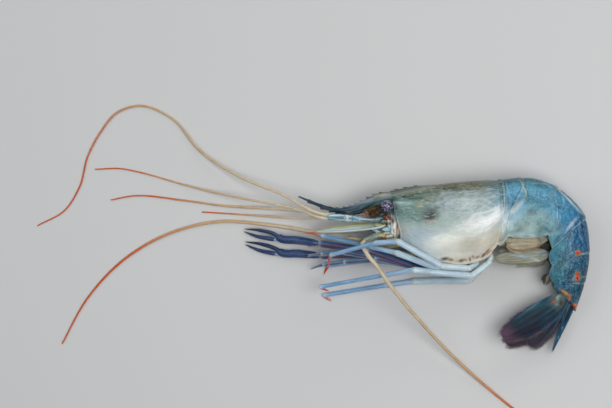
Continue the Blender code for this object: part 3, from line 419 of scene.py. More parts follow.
# Dorsal edge, ventral edge, half width, height of the middle, the groove's depth, the skin's end in degrees.
BODY = (
    ((-27.5, 15.3), (-22.5, -8.5), 8.5, 15.9, 2.2, 152),
    ((-17.5, 17.5), (-16.5, -13.8), 12.5, 15.8, 3.6, 152),
    ((-7.5, 18.8), (-7.5, -18.0), 15.0, 15.7, 4.8, 152),
    ((2.5, 20.0), (2.5, -20.3), 16.5, 15.6, 5.2, 152),
    ((12.5, 20.8), (12.5, -20.0), 16.5, 15.6, 5.2, 152),
    ((20.5, 21.3), (20.5, -17.0), 15.5, 15.4, 4.8, 150),
    ((27.5, 21.5), (27.0, -11.5), 14.2, 14.8, 4.2, 146),
    ((37.0, 22.5), (32.5, -8.0), 13.8, 14.2, 4.2, 142),
    ((46.5, 21.8), (41.0, -7.5), 14.2, 13.7, 4.6, 140),
    ((56.0, 18.0), (49.0, -7.5), 13.6, 13.1, 4.4, 140),
    ((64.0, 11.5), (52.0, -8.8), 12.8, 12.3, 4.0, 142),
    ((70.3, 3.0), (52.0, -13.0), 11.8, 11.3, 3.8, 142),
    ((72.8, -13.5), (52.0, -21.0), 10.2, 9.8, 3.2, 146),
    ((70.8, -29.0), (53.4, -30.2), 8.4, 8.2, 2.2, 152),
    ((66.8, -41.5), (57.6, -36.0), 6.6, 7.0, 1.2, 160),
)
DORSAL, VENTRAL, HALF_WIDTH, MIDDLE, GROOVE, SKIN_END = (
    np.array([place[column] for place in BODY], float) for column in range(6)
)
FULLNESS = 0.88
FLAP_THICKNESS = 1.3
ROOF_STEPS = 9
FLAP_STEPS = 2
SKIN_STEPS = ROOF_STEPS + FLAP_STEPS
SEAM_GAP = 0.42
GAP = 0.32
TAIL_END = 14
END_LOBE = 0.5
# How far each seam bows backwards, in places, from the back round to the flap's edge.
SEAM_BOW = {
    0: (0.0, 0.04, 0.04, -0.03, 0.03, 0.1, 0.08, 0.0),
    6: (0.0, 0.1, 0.16, 0.2, 0.16, 0.1, -0.1, -0.25),
    7: (0.0, 0.14, 0.22, 0.02, -0.3, -0.42, -0.4, -0.3),
    9: (0.0, -0.08, -0.1, 0.12, 0.42, 0.6, 0.55, 0.25),
    11: (0.0, 0.0, -0.02, -0.04, -0.04, 0.0, 0.05, 0.05),
    12: (0.0, 0.02, 0.0, -0.04, -0.04, 0.0, 0.05, 0.05),
    13: (0.0, 0.03, 0.04, 0.02, 0.0, 0.02, 0.05, 0.05),
    TAIL_END: (0.24, 0.22, 0.14, 0.04, 0.0, 0.0, 0.0, 0.0),
}


class Sections:
    """The body's cross-sections at an array of places."""

    def __init__(self, places):
        places = np.asarray(places, float)
        dorsal, ventral = curve(DORSAL, places), curve(VENTRAL, places)
        span = dorsal - ventral
        self.centre = (dorsal + ventral) / 2
        self.half_depth = np.linalg.norm(span, axis=-1) / 2
        self.up = unit(span)
        self.half_width = curve(HALF_WIDTH, places)
        self.middle = curve(MIDDLE, places)
        self.groove = curve(GROOVE, places)
        self.end = 1 - np.cos(np.radians(curve(SKIN_END, places)))
        self.ceiling = self.groove - self.half_depth

    def side(self, level):
        cosine = 1 - self.end * (1 - level / self.half_depth) / 2
        return self.half_width * np.sqrt(np.maximum(0.0, 1 - cosine**2)) ** FULLNESS

    def point(self, lateral, level):
        flat = self.centre + self.up * np.asarray(level)[..., None]
        height = self.middle + np.asarray(lateral)
        return np.concatenate([flat, np.broadcast_to(height, flat.shape[:-1])[..., None]], axis=-1)


def skin_level(section, step, lobe):
    """Level of the skin at a step round from the back. lobe is the share of the flap's depth there."""
    full = np.arccos(np.clip(1 - section.end * (1 - section.ceiling / section.half_depth) / 2, -1, 1))
    turn = full * np.minimum(step, ROOF_STEPS) / ROOF_STEPS
    roof = section.half_depth * (1 - 2 * (1 - np.cos(turn)) / section.end)
    flap = section.ceiling - section.groove * lobe * (step - ROOF_STEPS) / FLAP_STEPS
    return np.where(step <= ROOF_STEPS, roof, flap)


def skin_point(places, step, lobe, side=1, proud=0.0):
    """Points of the outer skin. side is 1 on the left and -1 on the right."""
    section = Sections(places)
    level = skin_level(section, step, lobe)
    lateral = np.where(np.asarray(step) <= 1e-6, 0.0, section.side(level))
    lateral = np.maximum(lateral, np.where(np.asarray(step) > 1e-6, 0.02, 0.0))
    grow = 1 + proud / section.half_width
    return section.point(lateral * grow * side, level * grow)


def seam_places(seam, step):
    steps = np.array(SEAM_BOW[seam], float)
    return seam + curve(steps, np.asarray(step, float) / SKIN_STEPS * (len(steps) - 1))


FINE_PLACES = np.linspace(0.0, TAIL_END, 281)
SPINE_LINE = (curve(DORSAL, FINE_PLACES) + curve(VENTRAL, FINE_PLACES)) / 2
REACHED = np.concatenate([[0.0], np.cumsum(np.linalg.norm(np.diff(SPINE_LINE, axis=0), axis=1))])
STEP_MM = 2.6  # about how wide a step round the body is


def body_length(places):
    return np.interp(places, FINE_PLACES, REACHED)


# The body's markings and painted highlights, as on the photograph

# Place along the body, and the colours of the back, the flank and the lower flank there.
MARKINGS = (
    (0.0, (50, 80, 74), (116, 150, 144), (190, 206, 208)),
    (1.5, (66, 84, 62), (134, 162, 154), (210, 224, 228)),
    (3.0, (78, 84, 46), (168, 186, 184), (222, 224, 214)),
    (4.6, (76, 88, 54), (178, 194, 194), (222, 219, 206)),
    (5.9, (48, 90, 96), (120, 162, 178), (200, 196, 178)),
    (6.6, (44, 104, 118), (106, 164, 192), (170, 194, 194)),
    (8.0, (42, 108, 126), (90, 154, 178), (156, 180, 174)),
    (9.6, (28, 102, 136), (62, 132, 168), (108, 156, 166)),
    (11.2, (10, 80, 120), (18, 86, 132), (72, 130, 148)),
    (12.4, (4, 62, 88), (6, 66, 92), (62, 116, 132)),
    (14.0, (2, 54, 76), (4, 60, 80), (18, 74, 92)),
)
MARK_PLACES = np.array([row[0] for row in MARKINGS])
BACK_COLOURS, FLANK_COLOURS, LOW_COLOURS = (
    np.array([colour(*row[column]) for row in MARKINGS]) for column in (1, 2, 3)
)
PIXEL_MM = 0.5  # one pixel of the photograph
ORIGIN_PIXEL = (445, 223)

# Centre and half sizes in the photograph's pixels, tilt in degrees, colour, strength, and added streaks.
PATCHES = (
    ((394.5, 205), (4.5, 10.0), 0, (64, 88, 82), 0.7, 0.1),
    ((392.4, 208), (2.4, 9.0), -6, (52, 78, 72), 0.95, 0),
    ((491, 196), (8.0, 10.0), 0, (104, 136, 148), 0.4, 0.1),
    ((411, 238), (14.0, 10.0), 0, (192, 210, 216), 0.4, 0.1),
    ((428.5, 214), (9.0, 7.0), 8, (52, 68, 66), 0.75, 0.1),
    ((429, 216), (5.0, 3.6), 0, (30, 40, 38), 0.9, 0.3),
    ((433, 209.5), (5.0, 2.0), 30, (50, 62, 60), 0.6, 0.2),
    ((430, 221.5), (6.0, 1.6), 0, (204, 172, 158), 0.45, 0),
    ((419, 205), (9.0, 2.2), 34, (160, 164, 140), 0.6, 0.3),
    ((404, 203), (9.0, 1.3), -4, (158, 194, 198), 0.7, 0.3),
    ((408, 212), (13.0, 4.0), -4, (78, 124, 118), 0.6, 0.4),
    ((412, 198), (20.0, 2.2), -5, (62, 92, 78), 0.6, 0.4),
    ((420, 191.5), (14.0, 1.2), 12, (140, 134, 100), 0.6, 0.3),
    ((440, 188), (34.0, 1.6), -4, (62, 66, 40), 0.6, 0.3),
    ((470, 185), (30.0, 1.2), -3, (108, 92, 64), 0.6, 0.2),
    ((468, 195), (26.0, 3.0), -4, (120, 150, 150), 0.5, 0.5),
    ((447, 204), (10.0, 7.0), 0, (156, 168, 180), 0.5, 0.4),
    ((478, 207), (17.0, 8.0), 0, (168, 190, 192), 0.4, 0.5),
    # Painted highlights: the wet gloss on the carapace. Their added streaks are painted streaky reflections.
    ((478, 222), (19.0, 5.0), 14, (238, 242, 240), 0.8, 0.6),
    ((493, 217), (14.0, 4.6), 50, (244, 248, 248), 0.85, 0.5),
    ((444, 241), (18.0, 5.0), 4, (232, 234, 226), 0.8, 0),
    ((418, 236), (17.0, 8.0), 14, (178, 196, 208), 0.6, 0),
    ((474, 242), (16.0, 5.0), 0, (206, 200, 178), 0.5, 0),
    ((402, 230), (4.0, 6.0), 12, (186, 166, 148), 0.4, 0),
    ((444, 258.5), (4.0, 1.5), 8, (86, 56, 24), 0.95, 0.3),
    ((450, 259.5), (2.6, 1.5), -6, (150, 92, 40), 0.9, 0.3),
    ((455, 261), (3.0, 1.0), 0, (196, 160, 110), 0.7, 0.2),
    ((460.5, 260.4), (2.6, 1.5), 10, (110, 62, 20), 0.95, 0.3),
    ((464.5, 259.6), (2.0, 1.0), -20, (182, 122, 58), 0.9, 0.2),
    ((469, 259), (1.0, 2.0), 14, (124, 78, 34), 0.9, 0.2),
    ((472, 256.6), (1.0, 2.0), 24, (176, 126, 70), 0.8, 0.2),
    ((476.5, 257), (2.4, 0.9), 20, (120, 76, 36), 0.9, 0.2),
    ((482.5, 255), (3.0, 1.2), 48, (84, 50, 20), 0.95, 0.2),
    ((487, 252.6), (3.4, 1.0), 40, (168, 106, 40), 0.9, 0.2),
    ((486.5, 250.4), (3.0, 0.8), 40, (92, 58, 26), 0.8, 0.2),
    ((492, 250.2), (2.4, 0.7), 20, (196, 140, 70), 0.8, 0.2),
    ((499.5, 196), (1.2, 18.0), 0, (66, 96, 104), 0.5, 0),
    ((511, 196), (7.0, 10.0), 0, (76, 128, 160), 0.6, 0.3),
    # Painted highlights: the wet gloss where the carapace meets the abdomen.
    ((512, 210), (11.0, 2.6), 44, (232, 240, 244), 0.85, 0.3),
    ((504, 224), (3.0, 8.0), -14, (222, 230, 228), 0.6, 0.3),
    ((532, 215), (12.0, 9.0), 0, (100, 134, 132), 0.6, 0.2),
    ((530, 212), (4.0, 3.0), 0, (70, 92, 92), 0.6, 0),
    ((526, 223), (3.0, 2.0), 0, (92, 108, 100), 0.4, 0),
    ((542, 197), (12.0, 5.0), -20, (70, 136, 168), 0.6, 0.4),
    ((543, 226), (8.0, 8.0), 0, (98, 136, 140), 0.5, 0.2),
    ((552, 234), (8.0, 1.4), 8, (150, 182, 188), 0.4, 0.2),
    ((566, 198), (18.0, 1.0), -47, (176, 208, 222), 0.6, 0.2),
    ((560, 205), (10.0, 6.0), -50, (72, 132, 166), 0.5, 0.3),
    # Painted highlight: a white glint on the abdomen's flank.
    ((571, 224), (7.0, 1.8), 50, (214, 230, 238), 0.7, 0.3),
    ((560, 252), (8.0, 15.0), 0, (64, 118, 136), 0.6, 0.2),
    ((577, 232), (8.0, 12.0), 0, (12, 72, 122), 0.75, 0.4),
    ((571, 238), (2.4, 9.0), -12, (98, 152, 184), 0.5, 0.5),
    ((574, 263), (8.0, 6.0), 0, (14, 70, 104), 0.8, 0.3),
    ((562, 265), (7.0, 3.0), 0, (104, 138, 134), 0.5, 0.2),
    ((563, 285), (10.0, 3.0), -6, (20, 84, 120), 0.6, 0.3),
    ((585, 253), (5.0, 0.7), 0, (160, 176, 180), 0.5, 0),
    ((584, 277), (4.0, 0.7), 0, (150, 164, 160), 0.4, 0),
    ((565, 292.5), (5.0, 1.4), -35, (206, 140, 46), 0.95, 0),
    ((569.5, 298), (1.4, 3.8), -8, (196, 104, 34), 0.9, 0),
)
# Orange spots at the plates' corners: centre and radius in pixels.
SPOTS = (((577.6, 253), 2.7), ((577.2, 273.4), 2.2), ((577.4, 278), 2.6), ((575.4, 306.5), 2.6))
SPOT_ORANGE, SPOT_RED, SPOT_RIM = colour(222, 94, 0), colour(160, 22, 0), colour(130, 150, 140)

# Thin lines on the shell, some of them painted highlights: the pixels that they pass, half width, colour and
# strength.
THIN_LINES = (
    (((555.7, 216), (556.8, 223), (552, 233), (544.5, 238)), 0.7, (176, 206, 216), 0.6),
    (((544.5, 238), (536, 236.5), (527, 234.5), (512, 234)), 0.7, (176, 206, 216), 0.6),
    (((578.6, 221), (578.8, 235), (581.4, 240)), 0.7, (120, 176, 206), 0.6),
    (((519, 179), (524.5, 191), (525, 196), (518, 206)), 0.7, (206, 200, 176), 0.6),
    (((520.5, 179), (526, 191), (526.4, 197)), 0.6, (92, 76, 52), 0.6),
    (((556.5, 188), (568.5, 199.5), (581, 212)), 0.8, (200, 220, 228), 0.6),
    (((551.5, 192), (549.5, 204)), 0.7, (150, 120, 84), 0.5),
    (((560, 190), (563, 201), (561, 207)), 0.6, (150, 196, 214), 0.5),
    (((562, 247), (560, 262), (563, 276)), 0.7, (112, 158, 176), 0.4),
    (((572, 228), (569, 243), (571, 256)), 0.8, (110, 166, 196), 0.45),
    (((530, 183), (545, 184), (552, 188)), 0.8, (136, 180, 188), 0.5),
    (((528, 222), (536, 226), (545, 222)), 0.7, (168, 190, 188), 0.35),
    (((506, 186), (509, 199), (506, 208)), 0.8, (150, 186, 206), 0.45),
    (((499.8, 180), (501.5, 196), (502.4, 210)), 0.6, (70, 80, 76), 0.7),
    # Painted highlights: the streaky reflections of the carapace's wet gloss.
    (((463, 206), (470, 199), (482, 198), (491, 204)), 0.8, (206, 218, 220), 0.45),
    (((458, 212), (464, 205), (478, 203), (490, 209)), 0.7, (218, 226, 226), 0.4),
    (((466, 222), (474, 214), (486, 212), (496, 207)), 0.9, (240, 244, 244), 0.6),
    (((470, 229), (482, 221), (493, 219), (500, 212)), 0.9, (242, 246, 246), 0.6),
    (((463, 229), (474, 233), (486, 229), (495, 221)), 0.8, (236, 240, 236), 0.5),
    (((436, 198), (444, 193), (456, 192), (470, 194)), 0.8, (170, 184, 184), 0.45),
    (((417, 209), (418, 203), (424, 199), (432, 199)), 1.0, (170, 168, 134), 0.55),
    (((390, 196), (401, 193), (416, 190), (432, 187.6)), 1.5, (148, 156, 146), 0.6),
    (((396, 198.4), (408, 196), (424, 192)), 0.8, (52, 74, 58), 0.6),
    (((399, 218), (410, 219), (420, 222)), 0.9, (90, 130, 126), 0.5),
    (((397, 208), (408, 206), (416, 208)), 0.8, (60, 96, 92), 0.5),
    (((432, 238), (444, 234), (458, 238)), 0.9, (240, 240, 232), 0.5),
    (((424, 246), (440, 251), (458, 250)), 0.9, (214, 206, 186), 0.4),
)


def line_patches(lines):
    """A long patch for each straight stretch of the lines. Neighbours overlap a little."""
    patches = []
    for places, half_width, shade, strength in lines:
        for (x0, y0), (x1, y1) in zip(places, places[1:]):
            middle = ((x0 + x1) / 2, (y0 + y1) / 2)
            half_sizes = (math.hypot(x1 - x0, y1 - y0) * 0.62, half_width)
            tilt = math.degrees(math.atan2(y0 - y1, x1 - x0))
            patches.append((middle, half_sizes, tilt, shade, strength, 0))
    return tuple(patches)


SHELL_PATCHES = PATCHES + line_patches(THIN_LINES)


def photo_pixels(points):
    """Where points lie in the photograph, seen from above."""
    return points[..., 0] / PIXEL_MM + ORIGIN_PIXEL[0], ORIGIN_PIXEL[1] - points[..., 1] / PIXEL_MM


def patched(points, tints, streak, patches):
    """Paints the patches on the tints of points, and adds their streaks."""
    px, py = photo_pixels(points)
    for (x, y), (long, short), tilt, shade, strength, lines in patches:
        turned = math.radians(tilt)
        dx, dy = px - x, y - py
        u = (dx * math.cos(turned) + dy * math.sin(turned)) / long
        v = (dy * math.cos(turned) - dx * math.sin(turned)) / short
        share = np.exp(-((u**2 + v**2) ** 1.5) * 0.7)
        tints = mixed(tints, colour(*shade), strength * share)
        streak = streak + lines * share
    return tints, streak


def body_colours(points, places, turn):
    """Colours and streaks of the skin. turn goes from 0 on the back to 1 at the flap's edge."""
    rows = np.interp(places, MARK_PLACES, np.arange(len(MARK_PLACES)))
    back, flank, low = (curve(table, rows) for table in (BACK_COLOURS, FLANK_COLOURS, LOW_COLOURS))
    tints = mixed(back, flank, smooth(turn, 0.1, 0.4))
    tints = mixed(tints, low, smooth(turn, 0.5, 0.8))
    streak = 0.42 + 0.12 * smooth(turn, 0.45, 0.1) * smooth(places, 6.6, 5.8)
    streak = streak * (1 - 0.8 * smooth(turn, 0.5, 0.75) * smooth(places, 6.4, 5.8))
    tints, streak = patched(points, tints, streak, SHELL_PATCHES)
    px, py = photo_pixels(points)
    for (x, y), size in SPOTS:
        distance = np.hypot(px - x, py - y) / size
        tints = mixed(tints, SPOT_RIM, 0.5 * bell(distance, 0.0, 1.7))
        tints = mixed(tints, SPOT_ORANGE, smooth(distance, 1.15, 0.85))
        low = np.hypot(px - x, py - y - 0.3 * size) / size
        tints = mixed(tints, SPOT_RED, smooth(low, 0.75, 0.35))
        streak = streak * smooth(distance, 0.8, 1.4)
    return tints, streak


# Shell plates

FINE = 7  # points between two steps of the solids
SKIN_ROUND = np.linspace(0.0, SKIN_STEPS, SKIN_STEPS * FINE + 1)
INNER_ROUND = np.linspace(SKIN_STEPS, ROOF_STEPS, FLAP_STEPS * FINE + 1)
CEILING_SHARES = np.linspace(1.0, 0.0, 6)[1:]
OVERHANG = 0.1  # how far a plate's rear rim reaches over the next one, in places
PLACE_MM = 9.0  # about how long a place is
RIM_PROUD = 0.3
TUCK = -0.34
FLESH_COLOUR = colour(176, 156, 122)
LOWER_RIM, BACK_RIM, FLANK_RIM, REAR_RIM = (
    colour(206, 206, 188), colour(150, 146, 104), colour(182, 196, 190), colour(176, 198, 208)
)
RIM_RINGS = ((OVERHANG, 0.0), (OVERHANG * 1.05, -0.14), (OVERHANG, -0.3), (0.0, -0.7))  # reach and sink


def plate_half(starts, ends, share, lobe, proud_of, reach, side):
    """One half ring of a plate, from the back round the flap to the middle of the groove's ceiling."""
    last = len(SKIN_ROUND) - 1
    skin_places = starts * (1 - share) + ends * share
    proud = proud_of(skin_places, SKIN_ROUND)
    skin_places = skin_places + reach
    skin = skin_point(skin_places, SKIN_ROUND, lobe, side, proud)
    inner_places = np.full(len(INNER_ROUND), starts[last] * (1 - share) + ends[last] * share)
    section = Sections(inner_places)
    level = section.ceiling - section.groove * lobe * (INNER_ROUND - ROOF_STEPS) / FLAP_STEPS
    lateral = np.maximum(section.side(level) - FLAP_THICKNESS, 0.8)
    inner = section.point(lateral * side, level)
    roof_section = Sections(np.full(len(CEILING_SHARES), inner_places[0]))
    roof = roof_section.point(lateral[-1] * CEILING_SHARES * side, roof_section.ceiling)
    return skin, skin_places, inner, roof


def lobe_share(share, corner):
    """How deep the flap hangs along a plate, as its front and rear corners are rounded off."""
    inner = np.minimum(1.0, np.minimum(share, 1 - share) / corner)
    return END_LOBE + (1 - END_LOBE) * np.sin(math.pi / 2 * inner) ** 0.8


def shell_plate(shape, start, end, shares, corner, relief, rim):
    """Adds one plate. relief(places, steps, share, side) is its height over the plain form."""
    starts = seam_places(start, SKIN_ROUND) + (SEAM_GAP / 2 / PLACE_MM if start else 0.0)
    ends = seam_places(end, SKIN_ROUND) - (SEAM_GAP / 2 / PLACE_MM if end < TAIL_END else 0.0)
    length = body_length(end) - body_length(start)
    rings = [(share, 0.0, 0.0) for share in shares] + [(1.0, *ring) for ring in (RIM_RINGS if rim else ())]
    turn = SKIN_ROUND / SKIN_STEPS
    table = []
    for share, reach, sink in rings:
        lobe = float(lobe_share(share, corner))
        to_rim = (1 - share) * length + (OVERHANG - reach) * PLACE_MM
        halves = []
        for side in (1, -1):
            def proud_of(places, steps):
                return relief(places, steps, share, side) + sink

            skin, places, inner, roof = plate_half(starts, ends, share, lobe, proud_of, reach, side)
            paint, streak = body_colours(skin, places, turn)
            lower = 0.15 + 0.45 * smooth(places, 8.6, 7.4)
            paint = mixed(paint, LOWER_RIM, lower * bell(turn, 1.0, 0.022))
            if rim:
                edge = mixed(BACK_RIM, FLANK_RIM, smooth(turn, 0.15, 0.4))
                edge = mixed(edge, REAR_RIM, smooth(places, 9.0, 11.0))
                plain = smooth(turn, 0.3, 0.6) * smooth(places, 11.3, 11.9)
                worn = 0.6 + 0.4 * np.sin(turn * 37 + start * 5) * np.sin(turn * 17 + start)
                # Painted shadow: a dark band just ahead of the raised rear rim.
                paint = mixed(paint, paint * 0.55, (0.4 - 0.3 * plain) * bell(to_rim, 1.3, 0.45))
                paint = mixed(paint, edge, (0.85 - 0.7 * plain) * worn * bell(to_rim, 0.1, 0.45))
            hidden = np.full((len(inner) + len(roof), 3), FLESH_COLOUR)
            grain = np.column_stack([body_length(places), SKIN_ROUND * STEP_MM * side, 0 * places])
            half = np.hstack([
                np.concatenate([skin, inner, roof]), np.concatenate([paint, hidden]),
                np.concatenate([grain, np.concatenate([inner, roof])]),
                np.concatenate([streak, np.full(len(hidden), 0.5)])[:, None],
            ])
            halves.append(half if side == 1 else half[1:-1][::-1])
        table.append(np.concatenate(halves))
    table = np.array(table)
    middles = [Sections(starts[0]).point(0.0, 0.0), Sections(ends[0]).point(0.0, 0.0)]
    add_rows(shape, table[..., :3], table[..., 3:6], 0, middles, table[..., 6:9], table[..., 9])


def segment_relief(places, steps, share, side):
    """A plate of the abdomen: its front is tucked under the plate before it, its rim and edge are raised."""
    proud = RIM_PROUD * (1 - 0.5 * smooth(places, 11.2, 12.0))
    height = TUCK * smooth(share, 0.16, 0.05) + proud * smooth(share, 0.86, 0.99)
    height = height + 0.16 * bell(steps, SKIN_STEPS, 0.5) - 0.14 * bell(steps, SKIN_STEPS - 1.3, 0.45)
    height = height - 0.06 * bell(share, 0.86, 0.03) * smooth(steps, 0.5, 2.0)
    return height + 0.09 * np.sin(places * 5.0 + steps * 1.3 + side) * smooth(share, 0.1, 0.3)


def carapace_relief(places, steps, share, side):
    """The carapace: rim, the groove behind the head, the lines over the gills, and its lower edge."""
    height = (0.25 * bell(share, 0.004, 0.006) - 0.14 * bell(share, 0.022, 0.009)) * smooth(steps, 2.0, 4.5)
    height = height + RIM_PROUD * smooth(share, 0.965, 0.995) - 0.16 * bell(share, 0.962, 0.008)
    groove = 2.7 - 0.2 * steps + 0.012 * steps**2
    height = height - 0.34 * bell(places, groove, 0.09) * smooth(steps, 7.2, 5.0) * smooth(steps, 0.0, 1.2)
    gill = 3.9 + 0.25 * np.sin(places * 1.1)
    height = height - 0.24 * bell(steps, gill, 0.22) * smooth(places, 2.6, 3.2) * smooth(places, 5.9, 5.4)
    height = height + 0.18 * bell(steps, SKIN_STEPS, 0.35) - 0.14 * bell(steps, SKIN_STEPS - 0.9, 0.3)
    height = height + 0.5 * bell(steps, 0.0, 0.5) * smooth(places, 2.6, 0.4)
    height = height + 0.25 * bell(places, 1.0, 0.25) * bell(steps, 5.4, 0.7)
    height = height - 0.3 * bell(places, 2.3, 0.3) * bell(steps, 5.0, 0.8)
    return height + 0.12 * np.sin(places * 3.1 + steps * 0.9 + side) * np.sin(steps * 1.7 - places)


def ring_shares(front, rear, counts):
    """Where a plate's rings lie, from 0 to 1: counts of them before front, up to rear, and to the end."""
    stretches = zip((0.0, front, rear), (front, rear, 1.0), counts)
    return np.concatenate([[0.0], *(np.linspace(start, end, count)[1:] for start, end, count in stretches)])


CARAPACE_SHARES = ring_shares(0.05, 0.95, (12, 130, 12))
SEGMENT_SHARES = ring_shares(0.14, 0.82, (9, 34, 15))
SEGMENT_CORNER = 0.5
CARAPACE_CORNER = 0.13
SEGMENTS = (
    ("abdomen_1", 6, 7), ("abdomen_2", 7, 9), ("abdomen_3", 9, 11),
    ("abdomen_4", 11, 12), ("abdomen_5", 12, 13), ("abdomen_6", 13, 14),
)

# Spines on the carapace: place, step round from the back, length and half thickness. Step 0 is the crest.
CARAPACE_SPINES = (
    (0.35, 0.0, 1.5, 0.6), (0.8, 0.0, 1.6, 0.6), (1.3, 0.0, 1.4, 0.56),
    (0.3, 5.0, 2.8, 0.7), (0.95, 5.6, 2.8, 0.66),
)
SPINE_LEAN = 0.42  # how much a spine stands out for each unit forwards
SPINE_STOPS = np.array([-0.45, 0.0, 0.3, 0.6, 0.85, 1.0])
SPINE_TAPER = np.array([1.3, 1.0, 0.72, 0.45, 0.22, 0.06])
SPINE_SIDES = 10


def add_spine(shape, foot, way, length, radius, tint, tip_tint):
    """A pointed spine, sunk a little at its foot."""
    sizes = radius * SPINE_TAPER
    rows = sweep(foot + unit(way) * (SPINE_STOPS * length)[:, None], sizes, sizes, circle(SPINE_SIDES))
    add_rows(shape, rows, mixed(tint, tip_tint, smooth(SPINE_STOPS, 0.3, 1.0)))


def add_carapace_spines(shape):
    for place, step, length, radius in CARAPACE_SPINES:
        for side in (1, -1) if step else (1,):
            places = np.array([place, place - 0.1])
            foot, ahead = skin_point(places, np.full(2, step), END_LOBE, side, RIM_PROUD)
            forward = unit(ahead - foot)
            outward = foot - Sections(places[:1]).point(0.0, 0.0)[0]
            outward = unit(outward - forward * outward.dot(forward))
            base = body_colours(foot[None], places[:1], np.array([step / SKIN_STEPS]))[0][0]
            add_spine(shape, foot, forward + outward * SPINE_LEAN, length, radius, base, base * 1.25)


# Rostrum: its two edges run from the carapace's rim to the tip

ROSTRUM_TOP = (
    (-33.0, 14.9), (-38.0, 12.8), (-43.0, 9.9), (-48.0, 8.3), (-54.0, 7.6), (-61.0, 9.1), (-73.0, 13.6),
)
ROSTRUM_LOW = (
    (-33.0, 7.8), (-38.0, 6.1), (-43.0, 4.5), (-48.0, 4.2), (-54.0, 4.9), (-61.0, 7.1), (-73.6, 13.0),
)
ROSTRUM_ROOT = ((-20.0, 16.6), (-22.0, 9.5))  # sunk under the carapace's crest
ROSTRUM_FOOT = ((-27.9, 15.6), (-27.4, 9.0))
DORSAL_TEETH = 11
VENTRAL_TEETH = 9
TOOTH_HEIGHT = 0.45
TOOTH_LEAN = 1.0
# The blade's section: level from the lower edge, share of the half thickness, share of a tooth's offset.
ROSTRUM_SECTION = (
    (1.0, 0.1, 1.0), (0.95, 0.2, 0.75), (0.88, 0.34, 0.3), (0.78, 0.5, 0.0),
    (0.66, 0.74, 0.0), (0.56, 1.0, 0.0), (0.48, 1.0, 0.0), (0.38, 0.72, 0.0),
    (0.26, 0.46, 0.0), (0.14, 0.32, 0.3), (0.06, 0.2, 0.75), (0.0, 0.1, 1.0),
)
ROSTRUM_ROWS = 420
ROSTRUM_GRAIN = (52, 9)  # about how long and how high the blade is
ROSTRUM_HAIRS = 110
ROOF_HALF_WIDTH = 7.0  # where the blade widens over the eyes, into the carapace
SLATE, TEAL, KEEL_BLUE, RIDGE_BLUE, TOOTH_TIP = (
    colour(30, 50, 68), colour(60, 92, 90), colour(10, 32, 46), colour(56, 76, 96), colour(130, 114, 90)
)
ROSTRUM_PATCHES = (
    ((380, 197.5), (24.0, 2.4), 14, (150, 166, 174), 0.85, 0.3),
    ((381, 195), (11.0, 1.3), 3, (184, 178, 150), 0.8, 0.1),
    ((380, 191.5), (14.0, 1.2), 2, (88, 78, 52), 0.85, 0.2),
    ((368, 194.5), (7.0, 1.2), 30, (92, 100, 92), 0.7, 0.2),
    ((368, 206), (15.0, 2.2), 20, (50, 84, 72), 0.85, 0.4),
    ((389, 203.5), (5.0, 6.0), 0, (60, 90, 82), 0.85, 0.2),
    ((350, 206), (14.0, 1.1), 9, (92, 110, 130), 0.7, 0.2),
    ((342, 212), (20.0, 2.2), 2, (8, 40, 54), 0.9, 0.3),
    ((362, 202.5), (9.0, 1.0), 20, (122, 140, 152), 0.6, 0.1),
    ((322, 206), (16.0, 8.0), 0, (16, 38, 56), 0.65, 0.1),
)


def saw(share, teeth, first, last):
    """0 to 1: a row of teeth, each rising slowly and falling quickly towards the tip."""
    phase = ((share - first) / (last - first) * teeth) % 1.0
    stand = np.where(phase < 0.7, smooth(phase, 0.2, 0.7) ** 1.5, smooth(phase, 0.86, 0.7))
    return np.where((share >= first) & (share <= last), stand, 0.0)


